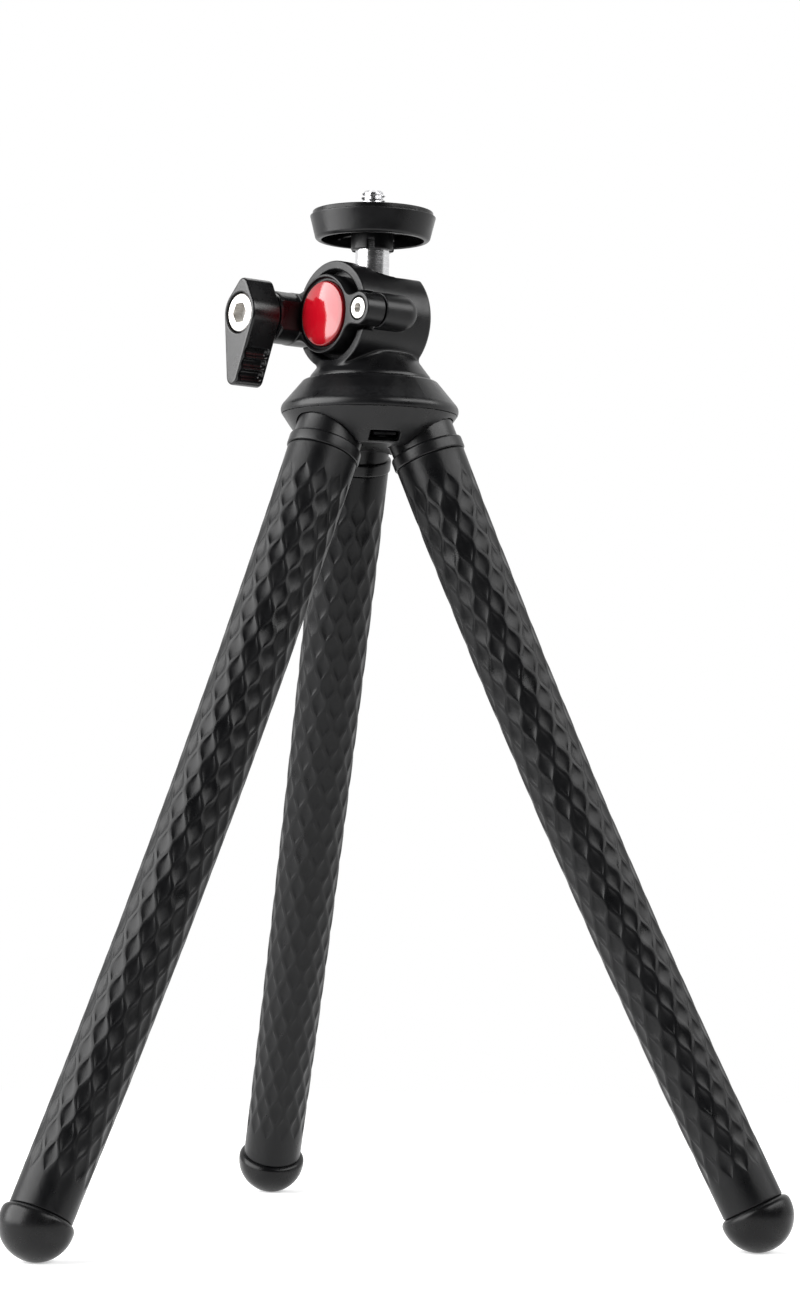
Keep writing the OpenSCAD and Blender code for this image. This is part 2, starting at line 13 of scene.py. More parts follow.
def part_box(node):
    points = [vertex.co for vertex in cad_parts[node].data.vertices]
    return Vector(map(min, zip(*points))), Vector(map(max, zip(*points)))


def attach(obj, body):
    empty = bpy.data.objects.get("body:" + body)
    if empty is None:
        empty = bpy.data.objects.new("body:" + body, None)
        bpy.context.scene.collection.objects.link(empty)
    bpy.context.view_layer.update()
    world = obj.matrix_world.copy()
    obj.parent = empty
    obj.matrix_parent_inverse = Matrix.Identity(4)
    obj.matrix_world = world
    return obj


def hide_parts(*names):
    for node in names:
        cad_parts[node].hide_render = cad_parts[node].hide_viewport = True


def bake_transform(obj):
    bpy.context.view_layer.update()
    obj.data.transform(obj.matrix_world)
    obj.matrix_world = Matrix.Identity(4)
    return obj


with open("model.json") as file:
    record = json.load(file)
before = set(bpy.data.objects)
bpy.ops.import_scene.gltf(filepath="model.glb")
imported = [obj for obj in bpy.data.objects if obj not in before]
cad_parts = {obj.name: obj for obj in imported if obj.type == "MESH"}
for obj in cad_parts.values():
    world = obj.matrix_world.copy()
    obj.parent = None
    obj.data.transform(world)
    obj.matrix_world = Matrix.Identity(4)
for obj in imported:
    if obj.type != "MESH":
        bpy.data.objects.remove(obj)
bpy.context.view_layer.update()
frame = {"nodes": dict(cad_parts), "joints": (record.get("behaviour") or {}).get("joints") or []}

bl_info = {
    "name": "Flexible Leg Tripod",
    "version": (1, 0, 0),
    "blender": (4, 5, 0),
    "location": "3D View > Sidebar > Tripod",
    "description": "Builds the finished surfaces of a flexible leg tripod on its packed parts",
    "category": "Object",
}

LEGS = ("front", "right", "left")
BENDS = 5
JOINTS = {joint["name"]: joint for joint in frame["joints"]}
BALL = Vector(JOINTS["ball_tilt"]["pos_m"])
DOME_TOP = Vector(JOINTS["head_pan"]["pos_m"])
KNOB_AXIS = Vector(JOINTS["knob_turn"]["pos_m"])
HEAD = Matrix.Translation(BALL) @ Matrix.Rotation(math.radians(90), 4, "X")
# Metres: a reach past every piece, the room of a close fit, and the step that a slope is taken over
FAR = 0.1
CLOSE_FIT = 0.00005
SLOPE_STEP = 0.0002
# Share of the way to its neighbours' mean that a mesh point goes in each round of evening out
EVENING = (0.0, 0.5, 0.5, 0.0, 0.0)
ARC_STEPS = 24


def size(name, description, millimetres):
    """A length that is shown in the sidebar, given here in millimetres."""
    return FloatProperty(
        name=name, description=description, default=millimetres / 1000, min=0, precision=5, unit="LENGTH"
    )


def angle(name, description, degrees):
    """An angle that is shown in the sidebar, given here in degrees."""
    return FloatProperty(name=name, description=description, default=math.radians(degrees), subtype="ANGLE")


def colour(name, description, *rgb):
    """A colour that is shown in the sidebar."""
    return FloatVectorProperty(
        name=name, description=description, default=rgb, size=3, min=0, max=1, subtype="COLOR"
    )


class HeadSettings(bpy.types.PropertyGroup):
    """Sizes of the clamp head, measured from the ball's centre."""

    tube: size("Tube", "Outside diameter of the clamp's tube", 28.1)
    tube_front: size("Tube front", "From the ball to the tube's front rim", 13.5)
    tube_back: size("Tube back", "From the ball to the tube's back", 9.1)
    tube_round: size("Tube rounding", "Rounding of the tube's back edge", 1.2)
    ring_wall: size("Ring wall", "Thickness of the front rim", 2.35)
    cup_bore: size("Cup bore", "Bore that holds the ball's cups", 19)
    back_wall: size("Back wall", "Thickness of the tube's back", 1.35)
    flat_rise: size("Flat", "Height of the flat behind the stem over the ball", 10.3)
    saddle_foot: size("Saddle foot", "Diameter of the saddle on the dome", 31.8)
    saddle_top: size("Saddle top", "Diameter where the saddle meets the tube", 23)
    saddle_rise: size("Saddle rise", "Height of the saddle", 6.4)
    saddle_lip: size("Saddle lip", "Height of the saddle's upright lip", 0.7)
    saddle_fillet: size("Saddle fillet", "Fillet between the saddle and the tube", 1)
    ear_offset: size("Ear offset", "From the ball to a clamp screw, sideways", 14.4)
    right_boss: size("Small boss", "Diameter of the boss for the small screw", 9.2)
    right_boss_end: size("Small boss end", "From the ball to the round end's centre", 2.5)
    left_boss: size("Large boss", "Diameter of the boss for the knob's bolt", 13.6)
    left_boss_back: size("Large boss back", "From the ball back to the boss's end", 3)
    boss_front: size("Boss front", "From the ball to the front of both bosses", 10.3)
    mouth_lean: angle("Mouth lean", "Lean that the mouth leaves the stem", 22)
    edge: size("Edge", "Rounding of the moulded edges", 0.4)
    crease: size("Crease", "Fillet where moulded forms meet", 0.5)
    room: size("Room", "Clearance round pieces that move", 0.3)
    jaw: size("Jaw", "Diameter of the jaw's round face", 20.4)
    jaw_front: size("Jaw front", "From the ball to the jaw's face", 16.5)
    jaw_back: size("Jaw back", "From the ball to the back of the ears", 10.6)
    plug_back: size("Plug back", "From the ball to the back of the jaw's plug", 8.6)
    right_ear: size("Small ear", "Diameter of the ear of the small screw", 8.5)
    left_ear_front: size("Large ear front", "From the ball to the end of the large ear", 22.8)
    ear_fillet: size("Ear fillet", "Fillet between the jaw's face and its ears", 4)
    jaw_rim: size("Jaw rim", "Width of the raised rim round the cap", 0.75)
    rim_step: size("Rim step", "Depth of the step inside the rim", 0.9)
    cap: size("Cap", "Diameter of the cap", 16.8)
    cap_depth: size("Cap depth", "Depth of the cap in the jaw", 2.4)
    cap_crown: size("Cap crown", "Rise of the cap's dome", 1.3)
    cap_round: size("Cap rounding", "Rounding of the cap's edge", 0.6)
    small_screw: size("Small screw", "Hole of the small screw", 3.2)
    small_head: size("Small screw head", "Recess of the small screw's head", 6.2)
    small_seat: size("Small screw seat", "From the ball to the seat of the small screw", 12.95)
    housing_mesh: size("Housing mesh", "Width of the housing's mesh", 0.32)
    jaw_mesh: size("Jaw mesh", "Width of the jaw's mesh", 0.25)


class KnobSettings(bpy.types.PropertyGroup):
    """Sizes of the lever knob."""

    back: size("Back", "From the ball to the knob's back face", 23.5)
    thickness: size("Thickness", "Thickness of the knob", 9.1)
    hub: size("Hub", "Diameter of the knob round its bolt", 12.6)
    top: size("Top", "From the bolt to the knob's upper end", 9.1)
    top_end: size("Top end", "Diameter of the upper end", 4.4)
    lever: size("Lever", "From the bolt to the lever's tip", 18.8)
    tip: size("Tip", "Diameter of the lever's tip", 4.6)
    lean: angle("Lean", "Lean of the lever as the clamp is locked", 9.4)
    edge: size("Edge", "Rounding of the knob's edges", 0.7)
    grooves: IntProperty(name="Grooves", description="Grip grooves on each side", default=3, min=1)
    groove: size("Groove", "Diameter of a grip groove", 2.4)
    groove_step: size("Groove step", "Distance between grooves", 3.05)
    groove_start: size("Groove start", "From the bolt to the first groove", 8.5)
    groove_end: size("Groove end", "From the middle of a groove's end to the face", 1.9)
    groove_lip: size("Groove lip", "Rounding of a groove's edge", 0.6)
    bolt: size("Bolt", "Bore of the knob's bolt", 6.1)
    bolt_head: size("Bolt head", "Recess of the bolt's head", 10.7)
    bolt_seat: size("Bolt seat", "From the knob's back to the head's seat", 3.3)
    mesh: size("Mesh", "Width of the knob's mesh", 0.23)


class PlateSettings(bpy.types.PropertyGroup):
    """Sizes of the camera platform, its pad and the stem."""

    top: size("Top", "Diameter of the plate's top", 33)
    low: size("Low", "Diameter of the plate's lower edge", 29.8)
    height: size("Height", "Height of the plate's skirt", 6.4)
    low_round: size("Lower rounding", "Rounding of the lower edge", 0.8)
    top_round: size("Upper rounding", "Rounding of the upper edge", 0.3)
    wall: size("Wall", "Thickness of the skirt", 1.5)
    roof: size("Roof", "Thickness of the plate", 2.6)
    hub: size("Hub", "Diameter of the hub round the stem", 11.3)
    hub_drop: size("Hub drop", "From the plate's top to the hub's end", 9.1)
    hub_slot: size("Hub slot", "Width of the slots that split the hub", 1.8)
    rib: size("Rib", "Thickness of a rib under the plate", 1.1)
    rib_height: size("Rib height", "Height of a rib under the plate", 1.6)
    pad: size("Pad", "Diameter of the pad", 31.6)
    pad_hole: size("Pad hole", "Hole of the pad", 6.95)
    pad_round: size("Pad rounding", "Rounding of the pad's edges", 0.3)
    stem: size("Stem", "Diameter of the stem", 8.9)
    stem_seat: size("Stem seat", "From the ball's centre to the stem's lower end", 1)
    stem_chamfer: size("Stem chamfer", "Chamfer of the stem's ends", 0.3)
    stem_room: size("Stem room", "Clearance of the stem in the ball", 0.08)
    screw: size("Screw", "Outside diameter of the camera screw", 6.35)
    screw_core: size("Screw core", "Core diameter of the camera screw's thread", 4.98)
    screw_pitch: size("Screw pitch", "Pitch of the camera screw", 1.27)
    screw_neck: size("Screw neck", "Diameter of the screw's neck in the plate", 5.6)
    mesh: size("Mesh", "Width of the plate's mesh", 0.3)


class BaseSettings(bpy.types.PropertyGroup):
    """Sizes of the lower shell of the base, with heights from the rim."""

    rim: size("Rim", "Diameter of the base's rim", 46.4)
    rim_round: size("Rim rounding", "Rounding of the rim", 2.4)
    rim_drop: size("Rim drop", "From the dome's top down to the rim's middle", 7.9)
    seam_drop: size("Seam drop", "From the rim's middle to the parting line", 1)
    crease: size("Crease", "Diameter of the crease", 38.8)
    crease_drop: size("Crease drop", "From the rim's middle to the crease", 6.3)
    crease_round: size("Crease rounding", "Rounding of the crease", 0.6)
    hub: size("Hub", "Diameter of the flat underside", 31)
    hub_drop: size("Hub drop", "From the rim's middle to the underside", 9.9)
    wall: size("Wall", "Thickness of the shell", 1.8)
    window_width: size("Window width", "Width of a clip window", 7.8)
    window_height: size("Window height", "Height of a clip window", 2.4)
    window_drop: size("Window drop", "From the crease to a clip window", 0.6)
    window_depth: size("Window depth", "Distance of a window's inner end from the centre", 13.3)
    socket_wall: size("Socket wall", "Wall of a leg socket", 1.9)
    socket_roof: size("Socket roof", "Roof of a leg socket", 1.5)
    socket_rise: size("Socket rise", "Height of the leg sockets over the parting line", 6)
    edge: size("Edge", "Rounding of the shell's edges", 0.35)
    room: size("Room", "Clearance round the legs' roots", 0.2)
    mesh: size("Mesh", "Width of the shell's mesh", 0.36)


class LegSettings(bpy.types.PropertyGroup):
    """Sizes of the legs, with distances along a leg from its collar."""

    first_bend: size("First bend", "From the collar to the first bend", 20)
    root: size("Root", "Diameter of the sleeve at the collar", 18.4)
    tip: size("Tip", "Diameter of the sleeve at the foot", 16)
    bore: size("Bore", "Bore of the sleeve round its core", 9)
    bend_reach: size("Bend reach", "Length on each side of a bend that curves with it", 14)
    end_round: size("End rounding", "Rounding of the sleeve's ends", 0.35)
    cells: IntProperty(name="Cells round", description="Dents round the sleeve", default=12, min=5)
    rows: IntProperty(name="Rows", description="Rows of dents along the sleeve", default=18, min=4)
    cell_length: size("Cell length", "Length of a dent", 10.9)
    cell_start: size("Cell start", "From the collar to the first dent", 4.6)
    cell_depth: size("Cell depth", "Depth of a dent at its middle", 0.4)
    land: size("Land", "Width of the land between dents", 0.8)
    collar: size("Collar", "Diameter of the collar", 19.2)
    collar_height: size("Collar height", "Height of the collar", 3.3)
    collar_round: size("Collar rounding", "Rounding of the collar's upper edge", 0.68)
    collar_edge: size("Collar edge", "Rounding of the collar's lower edge", 0.4)
    shoulder: size("Shoulder", "Diameter of the shoulder over the collar", 17.6)
    shoulder_length: size("Shoulder length", "From the collar's lower face to the shoulder's top", 8.2)
    shoulder_crease: size("Shoulder crease", "Fillet between the collar and the shoulder", 0.1)
    neck: size("Neck", "Diameter of the neck in the base", 12.6)
    neck_length: size("Neck length", "Length of the neck from the collar's lower face", 12.5)
    core_grip: size("Core grip", "Depth of the core in the collar", 7)
    core: size("Core", "Bore of the core in the collar and the foot", 5.1)
    foot: size("Foot", "Diameter of the ball foot", 18.5)
    foot_seam: size("Foot seam", "From the foot's centre to its seam", 2.2)
    foot_round: size("Foot rounding", "Rounding of the foot's shoulder", 1.8)


class FinishSettings(bpy.types.PropertyGroup):
    """Colours of the finishes."""

    plastic: colour("Plastic", "Moulded black plastic", 0.0028, 0.0028, 0.0032)
    plastic_worn: colour("Worn plastic", "Plastic that is rubbed along its edges", 0.012, 0.0122, 0.0132)
    rubber: colour("Rubber", "Sleeves of the legs", 0.0028, 0.0029, 0.0033)
    rubber_dust: colour("Rubber dust", "Dust that stays in the rubber", 0.01, 0.01, 0.0104)
    foot: colour("Foot rubber", "Ball feet and the platform's pad", 0.0028, 0.0028, 0.0031)
    steel: colour("Steel", "Polished stem", 0.72, 0.72, 0.73)
    steel_dark: colour("Steel marks", "Turning marks on the steel", 0.45, 0.45, 0.46)
    screw: colour("Screw", "Plated screws", 0.7, 0.69, 0.67)
    screw_dark: colour("Screw marks", "Dull places of the plated screws", 0.36, 0.33, 0.3)
    anodised: colour("Ball", "Black anodised ball", 0.03, 0.03, 0.032)
    brass: colour("Brass", "Threaded insert", 0.66, 0.45, 0.17)
    nylon: colour("Nylon", "Cups of the ball", 0.62, 0.6, 0.53)
    cap: colour("Cap", "Glossy cap", 0.36, 0.003, 0.01)
    # Painted shade: a darker red that the cap is given towards its edge
    cap_edge: colour("Cap edge", "Thin edge of the cap", 0.22, 0.0015, 0.005)
    wire: colour("Wire", "Aluminium core wire", 0.7, 0.7, 0.72)


class StageSettings(bpy.types.PropertyGroup):
    """The camera, the lamps and the floor."""

    azimuth: angle("Azimuth", "Direction of the camera round the tripod, from the front to the right", 50.43)
    distance: size("Distance", "Distance of the camera from the stem's axis", 917.2)
    height: size("Height", "Height of the camera over the floor", 103.1)
    pitch: angle("Pitch", "Upward tilt of the camera", 2.913)
    yaw: angle("Yaw", "Turn of the camera to the right", 0.559)
    roll: angle("Roll", "Roll of the camera", 0.95)
    aim: size("Aim", "Height that the lamps are aimed at", 150)
    lens: FloatProperty(
        name="Lens", description="Focal length on a 36 mm sensor", default=97.31, unit="CAMERA"
    )
    ambient: FloatProperty(name="Ambient", description="Strength of the room's light", default=0.25, min=0)
    backdrop: colour("Backdrop", "Colour of the background", 1.0, 1.0, 1.0)
    floor: colour("Floor", "Colour of the floor", 0.9, 0.9, 0.9)
    table: size("Table", "Radius of the round table that is the floor", 600)
    fade_start: size("Fade start", "From the centre to where the floor begins to fade", 150)
    fade_end: size("Fade end", "From the centre to where the floor is plain background", 500)
    floor_lift: FloatProperty(name="Floor lift", description="Brightness added to the floor", default=0.4)
    floor_gloss: FloatProperty(name="Floor gloss", description="Share of gloss on the floor", default=0.05)
    floor_roughness: FloatProperty(
        name="Floor roughness", description="Roughness of the floor's gloss", default=0.12
    )
    room: size("Room", "Distance of the dark room behind the camera", 2000)
    room_wall: size("Room wall", "Thickness of the dark room's wall", 20)
    room_reach: angle("Room reach", "Half the angle that the dark room covers", 75)
    room_rise: angle("Room rise", "Height of the dark room's middle", 45)
    room_dark: colour("Dark room", "Darker cloth of the room", 0.05, 0.05, 0.05)
    room_light: colour("Light room", "Lighter cloth of the room", 0.12, 0.12, 0.12)


class TripodSettings(bpy.types.PropertyGroup):
    """All settings of the tripod."""

    head: PointerProperty(type=HeadSettings)
    knob: PointerProperty(type=KnobSettings)
    plate: PointerProperty(type=PlateSettings)
    base: PointerProperty(type=BaseSettings)
    legs: PointerProperty(type=LegSettings)
    finish: PointerProperty(type=FinishSettings)
    stage: PointerProperty(type=StageSettings)


# Distances of solids, negative inside, for arrays of points

def join(a, b, fillet=0.0):
    """Both solids as one, with a round fillet where they meet."""
    return np.maximum(fillet, np.minimum(a, b)) - np.hypot(
        np.maximum(fillet - a, 0), np.maximum(fillet - b, 0)
    )


def meet(a, b, edge=0.0):
    """What both solids share, with a round edge where they meet."""
    return -join(-a, -b, edge)


def cut(a, b, edge=0.0):
    """The first solid without the second, with a round edge along the cut."""
    return meet(a, -b, edge)


def rod(x, y, z, radius, low, high, low_edge=0.0, high_edge=0.0):
    """A rod along z with round rims."""
    return meet(meet(np.hypot(x, y) - radius, low - z, low_edge), z - high, high_edge)


def cone_side(r, h, low_r, low_h, high_r, high_h):
    """The side of a cone through two points of radius and height, positive outside."""
    run, rise = high_r - low_r, high_h - low_h
    return ((r - low_r) * rise - (h - low_h) * run) / math.hypot(run, rise)


def taper(x, y, r_start, r_end, length):
    """Two circles with their common tangents, the second one up the y axis."""
    x = np.abs(x)
    sine = (r_start - r_end) / length
    cosine = math.sqrt(1 - sine * sine)
    along = cosine * y - sine * x
    side = cosine * x + sine * y - r_start
    return np.where(
        along < 0,
        np.hypot(x, y) - r_start,
        np.where(along > cosine * length, np.hypot(x, y - length) - r_end, side),
    )


def gradient(distance, points, cell):
    """Unit direction in which the distance grows, at each point of a mesh with cells of this width."""
    slopes = np.empty_like(points)
    for axis in range(3):
        offset = np.zeros(3)
        offset[axis] = cell / 16
        slopes[:, axis] = distance(*(points + offset).T) - distance(*(points - offset).T)
    return slopes / np.maximum(np.linalg.norm(slopes, axis=1, keepdims=True), 1e-12)


def net_points(values, mixed):
    """Mean place, in grid steps, where each mixed cell's edges cross the surface."""
    place = np.argwhere(mixed)
    total, hits = np.zeros(place.shape), np.zeros(len(place))
    for axis in range(3):
        for pair in itertools.product((0, 1), repeat=2):
            start = np.insert(np.array(pair), axis, 0)
            end = np.insert(np.array(pair), axis, 1)
            a, b = values[tuple((place + start).T)], values[tuple((place + end).T)]
            crossed = (a < 0) != (b < 0)
            share = np.where(crossed, a / np.where(crossed, a - b, 1), 0)
            total[crossed] += (start + share[:, None] * (end - start))[crossed]
            hits += crossed
    return place + total / hits[:, None]


def net_quads(inside, number):
    """Quads round each grid edge that crosses the surface."""
    quads = []
    for axis in range(3):
        order = [(axis + i) % 3 for i in range(3)]
        within, cell = inside.transpose(order), number.transpose(order)
        low, high = within[:-1, 1:-1, 1:-1], within[1:, 1:-1, 1:-1]
        i, j, k = np.nonzero(low != high)
        ring = np.stack([cell[i, j, k], cell[i, j + 1, k], cell[i, j + 1, k + 1], cell[i, j, k + 1]], 1)
        quads.append(np.where(low[i, j, k][:, None], ring, ring[:, ::-1]))
    return np.concatenate(quads)


def relaxed(points, quads, distance, cell):
    """The points evened out along the surface and set exactly on it."""
    edges = np.concatenate([quads[:, (i, (i + 1) % 4)] for i in range(4)])
    count = np.bincount(edges[:, 0], minlength=len(points))[:, None]
    for share in EVENING:
        mean = np.stack(
            [np.bincount(edges[:, 0], points[edges[:, 1], i], len(points)) for i in range(3)], 1
        ) / count
        points = points + share * (mean - points)
        normal = gradient(distance, points, cell)
        shift = np.clip(distance(*points.T), -cell / 2, cell / 2)
        points = points - shift[:, None] * normal
    return points


def largest_part(points, quads):
    """The largest connected part of a mesh, without loose crumbs."""
    part = np.arange(len(points))
    while True:
        lowest = part[quads].min(1)
        if (part[quads] == lowest[:, None]).all():
            break
        np.minimum.at(part, quads.ravel(), np.repeat(lowest, 4))
        part = part[part]
    kept = part == np.bincount(part).argmax()
    number = np.cumsum(kept) - 1
    return points[kept], number[quads[kept[quads[:, 0]]]]


def skin(name, distance, low, high, cell, place):
    """A mesh object on the surface of a solid that is given by its distance, in the frame place."""
    axes = [np.arange(a - 1.5 * cell, b + 2.5 * cell, cell) for a, b in zip(low, high)]
    values = distance(*np.meshgrid(*axes, indexing="ij"))
    inside = values < 0
    room = [n - 1 for n in inside.shape]
    count = sum(
        inside[i:i + room[0], j:j + room[1], k:k + room[2]].astype(np.int8)
        for i, j, k in itertools.product((0, 1), repeat=3)
    )
    mixed = (count > 0) & (count < 8)
    number = np.full(room, -1)
    number[mixed] = np.arange(mixed.sum())
    points = np.array([axis[0] for axis in axes]) + cell * net_points(values, mixed)
    points, quads = largest_part(points, net_quads(inside, number))
    points = relaxed(points, quads, distance, cell)
    return add_mesh(name, points, quads, place, gradient(distance, points, cell))


# Meshes

def add_mesh(name, points, faces, place=None, normals=None, sharp=35):
    """A smooth mesh object of points and faces, set in the frame place."""
    mesh = bpy.data.meshes.new(name)
    mesh.from_pydata(np.asarray(points).tolist(), [], [[int(v) for v in face] for face in faces])
    mesh.shade_smooth()
    if normals is None:
        mesh.set_sharp_from_angle(angle=math.radians(sharp))
    else:
        mesh.normals_split_custom_set_from_vertices(np.asarray(normals).tolist())
    if place is not None:
        mesh.transform(place)
    mesh.update()
    made = bpy.data.objects.new(name, mesh)
    bpy.context.scene.collection.objects.link(made)
    return made


def rounded(corners, steps=8):
    """Points along an outline of (radius, height, rounding) corners, with an arc at each round one."""
    points = []
    count = len(corners)
    for i, (r, h, rounding) in enumerate(corners):
        corner = np.array((r, h))
        before = np.array(corners[i - 1][:2]) - corner
        after = np.array(corners[(i + 1) % count][:2]) - corner
        if rounding <= 0:
            points.append(corner)
            continue
        before /= np.linalg.norm(before)
        after /= np.linalg.norm(after)
        half = math.acos(np.clip(before @ after, -1, 1)) / 2
        reach = rounding / math.tan(half)
        centre = corner + (before + after) / np.linalg.norm(before + after) * rounding / math.sin(half)
        start, end = corner + before * reach - centre, corner + after * reach - centre
        sweep = math.pi - 2 * half
        for step in range(steps + 1):
            t = step / steps * sweep
            arm = (start * math.sin(sweep - t) + end * math.sin(t)) / math.sin(sweep)
            points.append(centre + arm)
    return np.array(points)


def lathe(name, outline, place=None, sides=128, sharp=35):
    """A turned mesh from a closed outline of radius and height. Points on the axis become poles."""
    turns = np.arange(sides) * 2 * math.pi / sides
    points, rings = [], []
    for r, h in outline:
        if r <= 0:
            rings.append(np.full(sides, len(points)))
            points.append((0, 0, h))
        else:
            rings.append(len(points) + np.arange(sides))
            points.extend(zip(r * np.cos(turns), r * np.sin(turns), np.full(sides, h)))
    faces = []
    for low, high in zip(rings, rings[1:] + rings[:1]):
        for i in range(sides):
            j = (i + 1) % sides
            face = list(dict.fromkeys((low[i], low[j], high[j], high[i])))
            if len(face) > 2:
                faces.append(face)
    return add_mesh(name, points, faces, place, sharp=sharp)


def set_piece(piece, body, slot, material, *nodes):
    """Gives a piece its material, the body it rides on and the parts it stands for."""
    piece.data.materials.clear()
    piece.data.materials.append(material)
    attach(piece, body)
    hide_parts(*nodes)


def dress(material, *nodes):
    """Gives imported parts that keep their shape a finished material."""
    for name in nodes:
        mesh = frame["nodes"][name].data
        mesh.materials.clear()
        mesh.materials.append(material)


# Shader nodes

class Graph:
    """Adds nodes to one shader tree."""

    def __init__(self, tree):
        self.tree = tree

    def add(self, kind, inputs=None, **settings):
        """A new node with its settings, and with values or links on its inputs."""
        made = self.tree.nodes.new("ShaderNode" + kind)
        for key, value in settings.items():
            setattr(made, key, value)
        for key, value in (inputs or {}).items():
            self.link(value, made.inputs[key])
        return made

    def link(self, value, socket):
        """Links an output to a socket, or sets a plain value there."""
        if isinstance(value, bpy.types.NodeSocket):
            self.tree.links.new(value, socket)
        else:
            socket.default_value = value

    def math(self, operation, a, b=0.0):
        """The output of a math node."""
        return self.add("Math", {0: a, 1: b}, operation=operation).outputs[0]

    def blend(self, share, a, b):
        """A colour between two colours."""
        return self.add("Mix", {0: share, 6: a, 7: b}, data_type="RGBA").outputs[2]

    def remap(self, value, low, high, to_low, to_high):
        """A value moved from one range to another."""
        inputs = {0: value, 1: low, 2: high, 3: to_low, 4: to_high}
        return self.add("MapRange", inputs).outputs[0]

    def noise(self, vector, scale, detail=3.0, roughness=0.5):
        """The output of a noise texture, about 0.5 on average."""
        inputs = {"Vector": vector, "Scale": scale, "Detail": detail, "Roughness": roughness}
        return self.add("TexNoise", inputs).outputs[0]


def new_group(name, inputs, outputs):
    """An empty shader node group with float or colour sockets, and its two ends."""
    tree = bpy.data.node_groups.new(name, "ShaderNodeTree")
    for key, value in inputs.items():
        kind = "NodeSocketFloat" if isinstance(value, float) else "NodeSocketColor"
        socket = tree.interface.new_socket(key, in_out="INPUT", socket_type=kind)
        socket.default_value = value
    for key, kind in outputs.items():
        tree.interface.new_socket(key, in_out="OUTPUT", socket_type="NodeSocket" + kind)
    graph = Graph(tree)
    return graph, tree.nodes.new("NodeGroupInput").outputs, tree.nodes.new("NodeGroupOutput").inputs


def moulded_grain():
    """Fine grain of a mould's surface: a height that bumps the surface."""
    graph, given, result = new_group(
        "Moulded Grain", {"Grain": 4500.0, "Ripple": 260.0, "Ripple Share": 0.25}, {"Height": "Float"}
    )
    place = graph.add("TexCoord").outputs["Object"]
    fine = graph.noise(place, given["Grain"], 2.0, 0.6)
    broad = graph.noise(place, given["Ripple"], 2.0, 0.5)
    height = graph.add("Mix", {0: given["Ripple Share"], 2: fine, 3: broad}, data_type="FLOAT")
    graph.link(height.outputs[0], result["Height"])
    return graph.tree


def handled_surface():
    """Uneven gloss and rubbed edges: a colour and a roughness over the surface."""
    graph, given, result = new_group(
        "Handled Surface",
        {
            "Color": (0.01, 0.01, 0.01, 1.0), "Worn Color": (0.04, 0.04, 0.04, 1.0),
            "Edge Wear": 0.5, "Roughness": 0.4, "Uneven": 0.08, "Patch Scale": 140.0,
        },
        {"Color": "Color", "Roughness": "Float"},
    )
    place = graph.add("TexCoord").outputs["Object"]
    patches = graph.noise(place, given["Patch Scale"], 4.0, 0.6)
    specks = graph.noise(place, graph.math("MULTIPLY", given["Patch Scale"], 9.0), 3.0, 0.65)
    edges = graph.remap(graph.add("NewGeometry").outputs["Pointiness"], 0.505, 0.56, 0.0, 1.0)
    broken = graph.remap(specks, 0.42, 0.62, 0.0, 1.0)
    wear = graph.math("MULTIPLY", graph.math("MULTIPLY", edges, broken), given["Edge Wear"])
    haze = graph.remap(patches, 0.35, 0.7, 0.0, 0.2)
    share = graph.math("MINIMUM", graph.math("ADD", wear, haze), 1.0)
    graph.link(graph.blend(share, given["Color"], given["Worn Color"]), result["Color"])
    swing = graph.math("MULTIPLY", graph.remap(patches, 0.3, 0.7, -1.0, 1.0), given["Uneven"])
    rough = graph.math("ADD", given["Roughness"], swing)
    graph.link(rough, result["Roughness"])
    return graph.tree


def turned_marks():
    """Fine marks of turning round the z axis of a metal piece: a mask and a height."""
    graph, given, result = new_group(
        "Turned Marks", {"Pitch": 5200.0, "Stretch": 0.02}, {"Mask": "Float", "Height": "Float"}
    )
    place = graph.add("TexCoord").outputs["Object"]
    parts = graph.add("SeparateXYZ", {0: place})
    across = graph.math("MULTIPLY", parts.outputs[0], given["Stretch"])
    beside = graph.math("MULTIPLY", parts.outputs[1], given["Stretch"])
    drawn = graph.add("CombineXYZ", {0: across, 1: beside, 2: parts.outputs[2]}).outputs[0]
    lines = graph.noise(drawn, given["Pitch"], 3.0, 0.7)
    stains = graph.noise(place, 420.0, 3.0, 0.6)
    clear = graph.remap(lines, 0.4, 0.7, 0.0, 1.0)
    dull = graph.remap(stains, 0.3, 0.7, 0.3, 1.0)
    graph.link(graph.math("MULTIPLY", clear, dull), result["Mask"])
    graph.link(lines, result["Height"])
    return graph.tree


def shared_group(build):
    """The node group that a function builds, made once."""
    name = build.__name__.replace("_", " ").title()
    return bpy.data.node_groups.get(name) or build()


def use_group(graph, build, inputs):
    """A node of a shared group in a material."""
    return graph.add("Group", inputs, node_tree=shared_group(build)).outputs


def new_material(name):
    """A material with a Principled shader, its graph and the shader's inputs."""
    found = bpy.data.materials.get(name)
    if found:
        bpy.data.materials.remove(found)
    made = bpy.data.materials.new(name)
    made.use_nodes = True
    return made, Graph(made.node_tree), made.node_tree.nodes["Principled BSDF"]


def bump(graph, shader, height, depth, strength=1.0):
    """Bumps a shader's surface by a height, depth metres deep."""
    inputs = {"Height": height, "Distance": depth, "Strength": strength}
    graph.link(graph.add("Bump", inputs).outputs[0], shader.inputs["Normal"])


def rgba(value):
    """A colour setting as a shader colour."""
    return (*value, 1.0)


